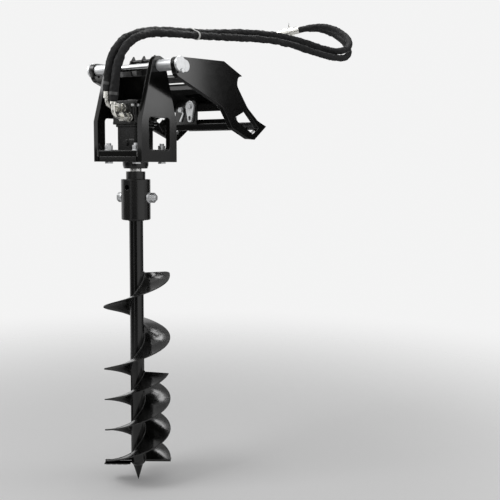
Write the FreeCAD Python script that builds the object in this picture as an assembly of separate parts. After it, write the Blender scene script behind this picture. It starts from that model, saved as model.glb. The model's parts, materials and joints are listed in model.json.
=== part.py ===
import FreeCAD, Part
import math
import os

# Auger drive attachment: a hitch that a loader's coupler picks up, a cradle that swings on
# the hitch's pin, a hydraulic planetary drive in the cradle, and an earth auger below it.
# Sizes are in millimetres. X runs along the pivot pin, +Y towards the carrier, +Z up.
# Everything is built round the pivot pin's centre and moved to the coupler face at the end.

# Pivot pin and its hardware
PIN_RADIUS = 11.0
PIN_FIT = 0.05
SEAT_GAP = 0.02
SWING_GAP = 0.3
SPACER_RADIUS = 19.0
BUSH_WALL = 5.0
CAP_RADIUS = 25.0
CAP_THICK = 9.0
KEEPER_RADIUS = 20.0
KEEPER_REACH = 27.0
KEEPER_THICK = 6.0
KEEPER_SCREW_RADIUS = 4.0
KEEPER_SCREW_LENGTH = 16.0

# Hitch
HITCH_WIDTH = 386.0
HITCH_PLATE = 19.0
COUPLER_TILT = 41.5
COUPLER_REACH = 351.0
COUPLER_DROP = 80.5
EAR_RADIUS = 28.0
BACK_PLATE_LENGTH = 98.0
BACK_PLATE_THICK = 12.0
HOOK_REACH = 47.0
HOOK_RISE = 55.0
LIP_REACH = 50.0
LIP_DROP = 176.0
HOOK_BAR_LENGTH = 46.0
HOOK_BAR_THICK = 12.0
LIP_BAR_LENGTH = 52.0
LIP_BAR_THICK = 12.0
LATCH_HOLE_RADIUS = 13.0
LATCH_HOLE_SPACING = 240.0
STIFFENER_HEIGHT = 24.0
STIFFENER_DEPTH = 38.0
BEAM_SIDE = 30.0
BEAM_WALL = 4.0
BEAM_SETBACK = 14.0
BEAM_DROP = 95.5
BEAM_CORNER = 4.0
BRACE_WIDTH = 14.0
BRACE_THICK = 8.0
BRACE_INSET = 10.0

# Hitch side plate: places down the coupler's face and out of it, and corner radii
EAR_HEEL = 9.0
CREST_SETBACK = 110.0
CREST_RISE = 5.6
HOOK_POINT = 12.0
HOOK_THROAT = 22.0
HOOK_THROAT_RADIUS = 14.0
RECESS_LEAD = 4.0
RECESS_SINK = 2.0
RECESS_RADIUS = 26.0
SEAT_INSET = 8.0
SEAT_RADIUS = 90.0
LIP_KNEE_DROP = 76.0
LIP_KNEE_REACH = 20.0
LIP_KNEE_RADIUS = 60.0
SOLE_RISE = 12.0
SOLE_DEPTH = 41.0
HEEL_RISE = 38.0
HEEL_DEPTH = 68.0
HEEL_RADIUS = 18.0
FOOT_SETBACK = 62.0
FOOT_DROP = 112.0
FOOT_RADIUS = 20.0
SHIN_SETBACK = 87.0
SHIN_DROP = 79.0
KNEE_SETBACK = 120.0
KNEE_DROP = 40.0
KNEE_RADIUS = 60.0
OPENING_GAP = 2.0
OPENING_RISE = 25.0
OPENING_DEPTH = 90.0
OPENING_SOLE = 35.0
OPENING_SOLE_DEPTH = 36.0
OPENING_LIP = 28.0
OPENING_LIP_REACH = 6.0
OPENING_RADIUS = 4.0
OPENING_SMALL_RADIUS = 3.0

# Latch on the front of the beam
LATCH_CENTRE = -10.0
LATCH_PIVOT_RISE = 66.0
LEVER_HEAD_RADIUS = 20.0
LEVER_TOE_RADIUS = 10.0
LEVER_LENGTH = 48.0
LEVER_THICK = 10.0
LEVER_HOLE_RADIUS = 4.5
LEVER_HOLE_RISE = 2.0
LEVER_HOLE_RUN = 6.0
BRACKET_THICK = 10.0
BRACKET_HEAD_RADIUS = 24.0
BRACKET_WIDTH = 100.0
BRACKET_SHOULDER = 12.0
BRACKET_SHOULDER_RADIUS = 26.0
BRACKET_CORNER = 6.0
BRACKET_SINK = 4.0
CLIP_OFFSET = 45.0
CLIP_PIVOT_RISE = 54.0
CLIP_THICK = 6.0
LATCH_BOLT_RADIUS = 6.0

# Cradle
CRADLE_WIDTH = 218.0
CRADLE_PLATE = 19.0
CRADLE_DEPTH = 175.0
CRADLE_DROP = 314.0
KNEE_RISE = 134.0
CRADLE_TOP_RADIUS = 32.0
WINDOW_WIDTH = 102.0
WINDOW_TOP_DROP = 168.0
WINDOW_SILL = 2.0
WINDOW_CORNER = 12.0
FLOOR_THICK = 19.0
FLANGE_THICK = 18.0
FLANGE_CLEARANCE = 7.0
REAR_PLATE_THICK = 10.0
REAR_PLATE_TOP_DROP = 24.0
REAR_PLATE_BOTTOM_DROP = 108.0
GUIDE_LUG_THICK = 5.0
GUIDE_LUG_RISE = 70.0
GUIDE_LUG_BACK = 20.0
GUIDE_LUG_TIP = 10.0
GUIDE_LUG_NOSE = 14.0
GUIDE_LUG_NOSE_RISE = 38.0
GUIDE_LUG_FOOT = 18.0
GUIDE_LUG_ROUND = 5.0
GUIDE_BAR_RADIUS = 6.0
GUIDE_BAR_BACK = 5.0
GUIDE_BAR_RISE = 49.0
GUIDE_BAR_LENGTH = 146.0
GUIDE_INSET = 29.0
GUIDE_PITCH = 48.0
GUIDE_SHIFT = -6.0

# Drive: gearbox, motor and their bolts
MOUNT_BOLT_RADIUS = 8.0
MOUNT_BOLT_SPACING = 125.5
MOUNT_BOLT_PLAY = 0.5
MOUNT_HEAD_THICK = 6.0
MOUNT_NUT_THICK = 15.0
MOUNT_WASHER_THICK = 3.0
MOUNT_BOLT_TAIL = 7.0
GEARBOX_SIDE = 92.0
GEARBOX_HEIGHT = 87.0
GEARBOX_FLOOR = 12.0
GEARBOX_CHAMFER = 9.0
GEARBOX_LEDGE = 4.0
PAD_LEFT = 16.0
PAD_WIDTH = 22.0
PAD_HEIGHT = 26.0
PAD_RISE = 2.5
MOTOR_SIDE = 112.0
MOTOR_BLOCK_HEIGHT = 66.0
MOTOR_CAP_THICK = 12.0
MOTOR_CHAMFER = 7.0
MOTOR_WAIST = 4.0
MOTOR_SCREW_OFFSET = 38.0
MOTOR_SCREW_RADIUS = 4.0
MOTOR_RING_RADIUS = 44.0
MOTOR_RING_THICK = 22.0
ROLLER_COUNT = 7
ROLLER_RADIUS = 5.0
ROLLER_CIRCLE = 34.0
ROTOR_LOBES = 6
ROTOR_RADIUS = 24.5
ROTOR_WAVE = 3.0
DRIVE_SHAFT_RADIUS = 9.0
MOTOR_BEARING_RADIUS = 23.0
MOTOR_BEARING_THICK = 14.0
MOTOR_BEARING_BALLS = 9
NOSE_RADIUS = 43.5
NOSE_TIP_RADIUS = 40.0
NOSE_DROP = 22.0
BEARING_OUTER_RADIUS = 36.0
BEARING_THICK = 16.0
BEARING_BALLS = 12
SEAL_THICK = 7.0
SEAL_RADIUS = 30.0

# Planetary stage
GEAR_MODULE = 2.0
SUN_TEETH = 12
PLANET_TEETH = 12
RING_TEETH = 36
PRESSURE_ANGLE = 25.0
TOOTH_RISE = 0.9
TOOTH_DEPTH = 1.25
BACKLASH = 0.3
PLANET_COUNT = 3
PLANET_THICK = 30.0
PLANET_PIN_RADIUS = 4.0
RING_WALL = 3.5
CARRIER_THICK = 12.0
CARRIER_RADIUS = 32.0

# Hydraulic fittings on the motor's front face
PORT_RADIUS = 8.0
PORT_DEPTH = 8.0
ELBOW_REACH = 74.0
ELBOW_BEND = 22.0
ELBOW_RADIUS = 6.5
ADAPTER_HEX = 27.0
ADAPTER_LENGTH = 40.0
SUPPLY_PORT = (-1.0, -137.0)
RETURN_PORT = (27.0, -168.5)
FERRULE_RADIUS = 10.5
SUPPLY_FERRULE_LENGTH = 22.0
RETURN_FERRULE_LENGTH = 10.0
SIDE_PLUG_RADIUS = 14.0
SIDE_PLUG_REACH = 9.0
SIDE_PLUG_BACK = 16.0

# Output shaft, hub and auger
NECK_RADIUS = 20.0
NECK_LENGTH = 10.0
SHAFT_RADIUS = 32.5
SHAFT_SHOWN = 26.0
SHAFT_IN_HUB = 118.0
HUB_RADIUS = 49.5
HUB_LENGTH = 138.0
HUB_CHAMFER = 5.0
HUB_TURN = 16.0
HUB_BOLT_DROP = 62.0
HUB_BOLT_RADIUS = 10.0
SPARE_HOLE_DROP = 27.0
SPARE_HOLE_RADIUS = 9.25
SPARE_HOLE_TURN = -85.0
TUBE_RADIUS = 23.8
TUBE_WALL = 4.0
TUBE_SOCKET = 8.0
FLIGHT_RADIUS = 114.3
FLIGHT_THICK = 4.0
FLIGHT_PITCH = 217.5
FLIGHT_START_DROP = 186.2
FLIGHT_END_TURN = 35.0
FLIGHT_TURNS = 3.056
FLIGHT_CORNER = 14.0
FLIGHT_SECTIONS = 6
SECOND_TURNS = 1.465
SECOND_SECTIONS = 3
WELD_GAP = 0.1
BLADE_THICK = 4.0
BLADE_WIDTH = 30.0
TOOTH_WIDTH = 16.0
TOOTH_HEIGHT = 7.0
TOOTH_INSET = 12.0
TOOTH_NOSE = 14.0
TOOTH_COUNT = 4
PILOT_RADIUS = 25.5
PILOT_WAIST_RADIUS = 16.5
PILOT_WAIST_DROP = 15.0
PILOT_HOLLOW = 2.0
PILOT_LENGTH = 68.0
PILOT_TIP_RADIUS = 0.8

# Hoses: hand-chosen points from each ferrule to its coupling, from the pivot pin's centre
HOSE_RADIUS = 13.0
HOSE_ARC_SHARE = 0.45
SUPPLY_ROUTE = [
    (-1, -130, -88), (3, -129, -28), (7, -112, 30), (8, -70, 80), (9, 2, 114), (8, 106, 136),
    (6, 226, 148), (9, 344, 157), (40, 460, 172), (82, 572, 182), (126, 678, 182), (172, 780, 168),
    (219, 862, 146), (258, 938, 138), (262, 1022, 166), (220, 1088, 216), (146, 1115, 262),
    (60, 1108, 288), (-20, 1072, 268),
]
RETURN_ROUTE = [
    (27, -130, -121), (32, -129, -68), (37, -123, -12), (40, -98, 44), (40, -48, 88), (38, 32, 115),
    (36, 150, 129), (35, 285, 138), (46, 396, 147), (86, 508, 153), (132, 616, 157), (178, 714, 146),
    (219, 796, 125), (254, 880, 111), (266, 974, 115), (238, 1068, 152), (174, 1140, 210),
    (86, 1168, 264), (-6, 1148, 290), (-80, 1104, 272),
]
TIE_WIDTH = 9.0
TIE_WALL = 2.0
TIE_Y = 285.0
CLAMP_WIDTH = 10.0
CLAMP_WALL = 1.5
CLAMP_SETBACK = 20.0
COUPLER_RADIUS = 17.0
COUPLER_HEX = 32.0
PLUG_RADIUS = 11.8
PLUG_LENGTH = 27.0
SOCKET_RADIUS = 12.1
SOCKET_DEPTH = 30.0
SLEEVE_WALL = 3.0
SLEEVE_LENGTH = 30.0
SLEEVE_TRAVEL = 6.0

# Values worked out from the sizes above
X_AXIS = FreeCAD.Vector(1, 0, 0)
Y_AXIS = FreeCAD.Vector(0, 1, 0)
Z_AXIS = FreeCAD.Vector(0, 0, 1)
ORIGIN = FreeCAD.Vector(0, 0, 0)
SIDES = {"left": -1, "right": 1}
HITCH_INSIDE = HITCH_WIDTH / 2 - HITCH_PLATE
CRADLE_INSIDE = CRADLE_WIDTH / 2 - CRADLE_PLATE
HALF_DEPTH = CRADLE_DEPTH / 2
FLOOR_TOP = -CRADLE_DROP + FLANGE_THICK + FLOOR_THICK
GEARBOX_TOP = FLOOR_TOP + GEARBOX_HEIGHT
BLOCK_TOP = GEARBOX_TOP + MOTOR_BLOCK_HEIGHT
MOTOR_TOP = BLOCK_TOP + MOTOR_CAP_THICK
NOSE_BOTTOM = -CRADLE_DROP - NOSE_DROP
SHAFT_TOP = NOSE_BOTTOM - NECK_LENGTH
HUB_TOP = SHAFT_TOP - SHAFT_SHOWN
HUB_BOTTOM = HUB_TOP - HUB_LENGTH
FLIGHT_TOP = HUB_BOTTOM - FLIGHT_START_DROP
FLIGHT_BOTTOM = FLIGHT_TOP - FLIGHT_TURNS * FLIGHT_PITCH
TILT = math.radians(COUPLER_TILT)
DOWN_FACE = FreeCAD.Vector(0, math.sin(TILT), -math.cos(TILT))
OUT_FACE = FreeCAD.Vector(0, math.cos(TILT), math.sin(TILT))
COUPLER = FreeCAD.Vector(0, COUPLER_REACH, -COUPLER_DROP)


def vec(x, y, z):
    return FreeCAD.Vector(x, y, z)


def rod(radius, length, base, axis):
    return Part.makeCylinder(radius, length, base, axis)


def ring(outer, inner, length, base, axis):
    """A round tube, cut all the way through."""
    return rod(outer, length, base, axis).cut(rod(inner, length, base, axis))


def block(low, high):
    size = high - low
    return Part.makeBox(size.x, size.y, size.z, low)


def hexagon(flats, length, base, axis):
    """A hexagonal bar, flats apart across its flats."""
    radius = flats / math.sqrt(3)
    turns = [math.radians(60 * i) for i in range(7)]
    points = [vec(radius * math.cos(a), radius * math.sin(a), 0) for a in turns]
    bar = Part.Face(Part.makePolygon(points)).extrude(vec(0, 0, length))
    bar.Placement = FreeCAD.Placement(base, FreeCAD.Rotation(Z_AXIS, axis))
    return bar


def rounded_wire(corners):
    """A closed wire through (point, radius) corners, with a tangent arc at each radius."""
    edges = []
    count = len(corners)
    ends = []
    for i in range(count):
        point, radius = corners[i]
        before = (corners[i - 1][0] - point).normalize()
        after = (corners[(i + 1) % count][0] - point).normalize()
        if radius == 0:
            ends.append((point, None, point))
            continue
        half = before.getAngle(after) / 2
        back = radius / math.tan(half)
        centre = point + (before + after).normalize() * (radius / math.sin(half))
        middle = centre + (point - centre).normalize() * radius
        ends.append((point + before * back, middle, point + after * back))
    for i in range(count):
        start, middle, stop = ends[i]
        if middle is not None:
            edges.append(Part.Arc(start, middle, stop).toShape())
        following = ends[(i + 1) % count][0]
        if (following - stop).Length > 1e-6:
            edges.append(Part.LineSegment(stop, following).toShape())
    return Part.Wire(edges)


def side_panel(corners, inner_x, thickness, side):
    """A plate across X from (y, z, radius) corners; it grows outwards from inner_x."""
    points = [(vec(side * inner_x, y, z), radius) for y, z, radius in corners]
    return Part.Face(rounded_wire(points)).extrude(vec(side * thickness, 0, 0))


def cross_bar(corners, half_width):
    """A bar along X between two side plates, from (y, z, radius) corners."""
    points = [(vec(-half_width, y, z), radius) for y, z, radius in corners]
    return Part.Face(rounded_wire(points)).extrude(vec(2 * half_width, 0, 0))


def on_face(down, out):
    """A (y, z) place given down the coupler face and out of it."""
    point = COUPLER + DOWN_FACE * down + OUT_FACE * out
    return point.y, point.z


def turned(shape, degrees, axis=Z_AXIS, centre=ORIGIN):
    copy = shape.copy()
    copy.rotate(centre, axis, degrees)
    return copy


def export(node, *solids):
    """Write the node's solids, moved so that the origin is on the coupler face."""
    shape = solids[0] if len(solids) == 1 else Part.makeCompound(list(solids))
    placed = shape.copy()
    placed.translate(COUPLER * -1)
    placed.exportStep("parts/" + node + ".step")


# Hitch


def hitch_outline():
    """Corners of a hitch side plate, from the pin's ear round by the hook and the lip."""
    half_seat = BACK_PLATE_LENGTH / 2
    return [
        (-EAR_RADIUS, EAR_RADIUS * 0.8, EAR_RADIUS * 0.75),
        (COUPLER_REACH - CREST_SETBACK, EAR_RADIUS + CREST_RISE, 0),
        on_face(-HOOK_RISE, HOOK_REACH) + (0,),
        on_face(-HOOK_RISE - HOOK_POINT, HOOK_REACH - HOOK_THROAT) + (HOOK_THROAT_RADIUS,),
        on_face(-half_seat - RECESS_LEAD, RECESS_SINK) + (RECESS_RADIUS,),
        on_face(-half_seat + SEAT_INSET, 0.0) + (0,),
        on_face(half_seat, 0.0) + (SEAT_RADIUS,),
        on_face(half_seat + LIP_KNEE_DROP, LIP_KNEE_REACH) + (LIP_KNEE_RADIUS,),
        on_face(LIP_DROP, LIP_REACH) + (0,),
        on_face(LIP_DROP - SOLE_RISE, -SOLE_DEPTH) + (0,),
        on_face(LIP_DROP - HEEL_RISE, -HEEL_DEPTH) + (HEEL_RADIUS,),
        (COUPLER_REACH - FOOT_SETBACK, -COUPLER_DROP - FOOT_DROP, FOOT_RADIUS),
        (COUPLER_REACH - SHIN_SETBACK, -COUPLER_DROP - SHIN_DROP, 0),
        (COUPLER_REACH - KNEE_SETBACK, -COUPLER_DROP - KNEE_DROP, KNEE_RADIUS),
        (-EAR_RADIUS * 0.45, -EAR_RADIUS - EAR_HEEL, EAR_RADIUS * 0.9),
    ]


def hitch_opening():
    """Corners of the opening in the rear foot of a hitch side plate."""
    half_seat = BACK_PLATE_LENGTH / 2
    return [
        on_face(half_seat + OPENING_GAP, -BACK_PLATE_THICK) + (OPENING_SMALL_RADIUS,),
        on_face(half_seat - OPENING_RISE, -OPENING_DEPTH) + (OPENING_RADIUS,),
        on_face(LIP_DROP - OPENING_SOLE, -OPENING_SOLE_DEPTH) + (OPENING_RADIUS,),
        on_face(LIP_DROP - OPENING_LIP, OPENING_LIP_REACH) + (OPENING_SMALL_RADIUS,),
    ]


def hitch_side_plate(side):
    plate = side_panel(hitch_outline(), HITCH_INSIDE, HITCH_PLATE, side)
    hole = side_panel(hitch_opening(), HITCH_INSIDE, HITCH_PLATE, side)
    bore = rod(PIN_RADIUS + PIN_FIT, 2 * HITCH_WIDTH, vec(-HITCH_WIDTH, 0, 0), X_AXIS)
    plate = plate.cut(hole).cut(bore)
    for screw in keeper_screw_places():
        plate = plate.cut(rod(KEEPER_SCREW_RADIUS, HITCH_WIDTH, vec(0, screw[0], screw[1]), X_AXIS * side))
    return plate


def back_plate():
    half = BACK_PLATE_LENGTH / 2
    corners = [
        on_face(-half, 0) + (0,),
        on_face(half, 0) + (0,),
        on_face(half, -BACK_PLATE_THICK) + (0,),
        on_face(-half, -BACK_PLATE_THICK) + (0,),
    ]
    return cross_bar(corners, HITCH_INSIDE)


def stiffener():
    """The thick bar that stands on the back plate's upper edge."""
    foot = -BACK_PLATE_LENGTH / 2
    top = foot - STIFFENER_HEIGHT
    corners = [
        on_face(foot, 0) + (0,),
        on_face(foot, -STIFFENER_DEPTH) + (3.0,),
        on_face(top, -STIFFENER_DEPTH) + (3.0,),
        on_face(top, 0) + (3.0,),
    ]
    return cross_bar(corners, HITCH_INSIDE)


def hook_bar():
    """The bar under which the carrier's coupler plate hooks."""
    tip = COUPLER + DOWN_FACE * -HOOK_RISE + OUT_FACE * HOOK_REACH
    crest = vec(0, COUPLER_REACH - CREST_SETBACK, EAR_RADIUS + CREST_RISE)
    along = (crest - tip).normalize()
    under = X_AXIS.cross(along).normalize()
    if under.z > 0:
        under = under * -1
    start = tip + along * 3
    ends = [start, start + along * HOOK_BAR_LENGTH]
    corners = [ends[0], ends[1], ends[1] + under * HOOK_BAR_THICK, ends[0] + under * HOOK_BAR_THICK]
    return cross_bar([(p.y, p.z, 0) for p in corners], HITCH_INSIDE)


def lip_frame():
    """The lower lip's start, its direction and the way out of its upper face."""
    tip = COUPLER + DOWN_FACE * LIP_DROP + OUT_FACE * LIP_REACH
    knee = COUPLER + DOWN_FACE * (BACK_PLATE_LENGTH / 2 + LIP_KNEE_DROP) + OUT_FACE * LIP_KNEE_REACH
    along = (knee - tip).normalize()
    up = along.cross(X_AXIS).normalize()
    if up.z < 0:
        up = up * -1
    return tip, along, up


def lip_bar():
    tip, along, up = lip_frame()
    start = tip + along * 2 - up * 1.5
    far = start + along * LIP_BAR_LENGTH
    corners = [start, far, far - up * LIP_BAR_THICK, start - up * LIP_BAR_THICK]
    bar = cross_bar([(p.y, p.z, 0) for p in corners], HITCH_INSIDE)
    middle = start + along * (LIP_BAR_LENGTH / 2)
    for side in SIDES.values():
        place = middle + X_AXIS * (side * LATCH_HOLE_SPACING / 2) + up * 1
        bar = bar.cut(rod(LATCH_HOLE_RADIUS, LIP_BAR_THICK + 2, place, up * -1))
    return bar


def beam_centre():
    return vec(0, COUPLER_REACH - BEAM_SETBACK, -COUPLER_DROP - BEAM_DROP)


def square_bar(half, radius):
    """A square bar across the hitch's foot, turned to the coupler's tilt."""
    signs = [(-1, -1), (1, -1), (1, 1), (-1, 1)]
    points = [beam_centre() + DOWN_FACE * (half * a) + OUT_FACE * (half * b) for a, b in signs]
    return cross_bar([(p.y, p.z, radius) for p in points], HITCH_INSIDE)


def beam():
    outer = BEAM_SIDE / 2
    return square_bar(outer, BEAM_CORNER).cut(square_bar(outer - BEAM_WALL, BEAM_CORNER / 2))


def brace(side):
    """A flat strap from the back plate's lower edge down to the beam."""
    half = BACK_PLATE_LENGTH / 2
    top = COUPLER + DOWN_FACE * half + OUT_FACE * (-BACK_PLATE_THICK / 2)
    foot = beam_centre() + DOWN_FACE * (-BEAM_SIDE / 2) + OUT_FACE * (BEAM_SIDE / 4)
    along = (foot - top).normalize()
    across = X_AXIS.cross(along).normalize() * (BRACE_THICK / 2)
    corners = [top + across, foot + across, foot - across, top - across]
    outer = HITCH_INSIDE - BRACE_INSET
    points = [(vec(side * outer, p.y, p.z), 0) for p in corners]
    strap = Part.Face(rounded_wire(points)).extrude(vec(-side * BRACE_WIDTH, 0, 0))
    return strap.cut(back_plate()).cut(square_bar(BEAM_SIDE / 2, 0))


def build_hitch():
    for name, side in SIDES.items():
        export("hitch_side_plate_" + name, hitch_side_plate(side))
    export("hitch_back_plate", back_plate())
    export("hitch_stiffener", stiffener())
    export("hitch_hook_bar", hook_bar())
    export("hitch_lip_bar", lip_bar())
    export("hitch_beam", beam(), brace(-1), brace(1))


# Pivot pin


def keeper_screw_places():
    """(y, z) of the screw that holds each end cap's keeper to the hitch."""
    return [(KEEPER_REACH * 0.15, -CAP_RADIUS + KEEPER_SCREW_RADIUS)]


def end_cap(side):
    """The pin's end disc with the keeper's lobe behind it, in one plate."""
    face = side * HITCH_WIDTH / 2
    base = vec(face, 0, 0)
    disc = rod(CAP_RADIUS, CAP_THICK, base, X_AXIS * side)
    lobe = rod(KEEPER_RADIUS, KEEPER_THICK, vec(face, KEEPER_REACH, -4.0), X_AXIS * side)
    cap = disc.fuse(lobe).removeSplitter()
    for y, z in keeper_screw_places():
        cap = cap.cut(rod(KEEPER_SCREW_RADIUS + SEAT_GAP, HITCH_WIDTH, vec(face, y, z) - X_AXIS * side, X_AXIS * side))
    return cap


def keeper_screw(side):
    face = side * (HITCH_WIDTH / 2 + CAP_THICK)
    y, z = keeper_screw_places()[0]
    head = hexagon(3.4 * KEEPER_SCREW_RADIUS, 1.4 * KEEPER_SCREW_RADIUS, vec(face, y, z), X_AXIS * side)
    shank = rod(KEEPER_SCREW_RADIUS - SEAT_GAP, KEEPER_SCREW_LENGTH, vec(face, y, z), X_AXIS * -side)
    return head.fuse(shank)


def build_pin():
    export("pivot_pin", rod(PIN_RADIUS, HITCH_WIDTH, vec(-HITCH_WIDTH / 2, 0, 0), X_AXIS))
    length = HITCH_INSIDE - CRADLE_WIDTH / 2 - SWING_GAP
    spacers = []
    for side in SIDES.values():
        start = vec(side * HITCH_INSIDE, 0, 0)
        spacers.append(ring(SPACER_RADIUS, PIN_RADIUS + PIN_FIT, length, start, X_AXIS * -side))
    export("pin_spacers", *spacers)
    export("pin_caps", end_cap(-1), end_cap(1))
    export("keeper_screws", keeper_screw(-1), keeper_screw(1))


# Latch


def teardrop(centre_x, top_z, head, toe, length, y, thickness):
    """A tapered plate across Y, round at both ends, that hangs from top_z."""
    ends = [(vec(centre_x, y, top_z), head), (vec(centre_x, y, top_z - length), toe)]
    slope = math.asin((head - toe) / length)
    plate = None
    for centre, radius in ends:
        disc = rod(radius, thickness, centre, Y_AXIS)
        plate = disc if plate is None else plate.fuse(disc)
    upper = ends[0][0]
    lower = ends[1][0]
    flank = [
        upper + vec(head * math.cos(slope), 0, -head * math.sin(slope)),
        lower + vec(toe * math.cos(slope), 0, -toe * math.sin(slope)),
        lower + vec(-toe * math.cos(slope), 0, -toe * math.sin(slope)),
        upper + vec(-head * math.cos(slope), 0, -head * math.sin(slope)),
    ]
    web = Part.Face(Part.makePolygon(flank + [flank[0]])).extrude(vec(0, thickness, 0))
    return plate.fuse(web).removeSplitter()


def latch_front():
    """The Y of the latch bracket's front face, just ahead of the beam's front corner."""
    corner = beam_centre() - OUT_FACE * (BEAM_SIDE / 2) - DOWN_FACE * (BEAM_SIDE / 2)
    return corner.y - BRACKET_THICK + BRACKET_SINK


def latch_bracket():
    """A rounded lug plate that stands on the beam's front."""
    front = latch_front()
    left = LATCH_CENTRE - BRACKET_WIDTH + BRACKET_HEAD_RADIUS
    right = LATCH_CENTRE + BRACKET_HEAD_RADIUS
    bottom = beam_centre().z
    top = bottom + LATCH_PIVOT_RISE + BRACKET_HEAD_RADIUS
    corners = [
        (vec(left, front, bottom), BRACKET_CORNER),
        (vec(left, front, top - BRACKET_SHOULDER), BRACKET_SHOULDER_RADIUS),
        (vec(LATCH_CENTRE - BRACKET_HEAD_RADIUS * 1.1, front, top), BRACKET_SHOULDER),
        (vec(right, front, top), BRACKET_HEAD_RADIUS * 0.9),
        (vec(right, front, bottom), BRACKET_CORNER),
    ]
    plate = Part.Face(rounded_wire(corners)).extrude(vec(0, BRACKET_THICK, 0))
    for x, z in latch_pivots():
        plate = plate.cut(rod(LATCH_BOLT_RADIUS + PIN_FIT, 3 * BRACKET_THICK, vec(x, front - 1, z), Y_AXIS))
    return plate.cut(square_bar(BEAM_SIDE / 2, 0))


def latch_pivots():
    """(x, z) of the lever's pivot and of the clip's, above the beam."""
    foot = beam_centre().z
    return [(LATCH_CENTRE, foot + LATCH_PIVOT_RISE), (LATCH_CENTRE - CLIP_OFFSET, foot + CLIP_PIVOT_RISE)]


def latch_lever():
    x, pivot_z = latch_pivots()[0]
    y = latch_front() - SWING_GAP - LEVER_THICK
    lever = teardrop(x, pivot_z, LEVER_HEAD_RADIUS, LEVER_TOE_RADIUS, LEVER_LENGTH, y, LEVER_THICK)
    bore = rod(LATCH_BOLT_RADIUS + PIN_FIT, 2 * LEVER_THICK, vec(x, y - 1, pivot_z), Y_AXIS)
    low = pivot_z - LEVER_LENGTH + LEVER_HOLE_RISE
    high = low + LEVER_HOLE_RUN
    slot = block(vec(x - LEVER_HOLE_RADIUS, y - 1, low), vec(x + LEVER_HOLE_RADIUS, y + LEVER_THICK + 1, high))
    for z in (low, high):
        slot = slot.fuse(rod(LEVER_HOLE_RADIUS, LEVER_THICK + 2, vec(x, y - 1, z), Y_AXIS))
    return lever.cut(bore).cut(slot)


def latch_clip():
    """The slim hanging clip beside the lever, a waved strip with an eye at its top."""
    x, z = latch_pivots()[1]
    y = latch_front() - SWING_GAP - CLIP_THICK
    eye = 1.7 * LATCH_BOLT_RADIUS
    wave = [
        (vec(x - 4, y, z), 0),
        (vec(x + 6, y, z - 14), 6.0),
        (vec(x - 3, y, z - 30), 6.0),
        (vec(x - 9, y, z - 42), 0),
        (vec(x - 1, y, z - 44), 0),
        (vec(x + 6, y, z - 30), 6.0),
        (vec(x + 13, y, z - 14), 6.0),
        (vec(x + 6, y, z), 0),
    ]
    strip = Part.Face(rounded_wire(wave)).extrude(vec(0, CLIP_THICK, 0))
    head = rod(eye, CLIP_THICK, vec(x, y, z), Y_AXIS)
    bore = rod(LATCH_BOLT_RADIUS + PIN_FIT, 3 * CLIP_THICK, vec(x, y - 1, z), Y_AXIS)
    return head.fuse(strip).removeSplitter().cut(bore)


def latch_bolt(x, z, cover):
    """A pivot bolt through the bracket, its head in front of the lever or clip."""
    front = latch_front() - cover - 2 * SWING_GAP
    shank = rod(LATCH_BOLT_RADIUS, cover + 2 * SWING_GAP + BRACKET_THICK, vec(x, front, z), Y_AXIS)
    head = hexagon(2.9 * LATCH_BOLT_RADIUS, LATCH_BOLT_RADIUS, vec(x, front, z), Y_AXIS * -1)
    return shank.fuse(head)


def build_latch():
    export("latch_bracket", latch_bracket())
    export("latch_lever", latch_lever())
    export("latch_clip", latch_clip())
    covers = [LEVER_THICK, CLIP_THICK]
    bolts = [latch_bolt(x, z, cover) for (x, z), cover in zip(latch_pivots(), covers)]
    export("latch_bolts", *bolts)


# Cradle


def cradle_taper():
    """Slope of the cradle's tapered edges: (dy, dz) tangent point on the top round."""
    knee = vec(0, HALF_DEPTH, -CRADLE_DROP + KNEE_RISE)
    distance = knee.Length
    angle = math.atan2(knee.z, knee.y) + math.acos(CRADLE_TOP_RADIUS / distance)
    return CRADLE_TOP_RADIUS * math.cos(angle), CRADLE_TOP_RADIUS * math.sin(angle)


def cradle_side_plate(side):
    knee_z = -CRADLE_DROP + KNEE_RISE
    ty, tz = cradle_taper()
    x = side * CRADLE_INSIDE
    outline = [
        Part.LineSegment(vec(x, -HALF_DEPTH, -CRADLE_DROP), vec(x, HALF_DEPTH, -CRADLE_DROP)),
        Part.LineSegment(vec(x, HALF_DEPTH, -CRADLE_DROP), vec(x, HALF_DEPTH, knee_z)),
        Part.LineSegment(vec(x, HALF_DEPTH, knee_z), vec(x, ty, tz)),
        Part.Arc(vec(x, ty, tz), vec(x, 0, CRADLE_TOP_RADIUS), vec(x, -ty, tz)),
        Part.LineSegment(vec(x, -ty, tz), vec(x, -HALF_DEPTH, knee_z)),
        Part.LineSegment(vec(x, -HALF_DEPTH, knee_z), vec(x, -HALF_DEPTH, -CRADLE_DROP)),
    ]
    wire = Part.Wire([piece.toShape() for piece in outline])
    plate = Part.Face(wire).extrude(vec(side * CRADLE_PLATE, 0, 0))
    half = WINDOW_WIDTH / 2
    sill = FLOOR_TOP + WINDOW_SILL
    window = [
        (-half, sill, WINDOW_CORNER),
        (half, sill, WINDOW_CORNER),
        (half, -WINDOW_TOP_DROP, WINDOW_CORNER),
        (-half, -WINDOW_TOP_DROP, WINDOW_CORNER),
    ]
    plate = plate.cut(side_panel(window, CRADLE_INSIDE, CRADLE_PLATE, side))
    return plate.cut(rod(bush_outer(), CRADLE_PLATE, vec(x, 0, 0), X_AXIS * side))


def bush_outer():
    return PIN_RADIUS + PIN_FIT + BUSH_WALL


def pin_bush(side):
    start = vec(side * CRADLE_INSIDE, 0, 0)
    return ring(bush_outer() - SEAT_GAP, PIN_RADIUS + PIN_FIT, CRADLE_PLATE, start, X_AXIS * side)


def rear_edge_y(z):
    """Y of the cradle's rear tapered edge at a height."""
    ty, tz = cradle_taper()
    knee_z = -CRADLE_DROP + KNEE_RISE
    return ty + (HALF_DEPTH - ty) * (tz - z) / (tz - knee_z)


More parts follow.
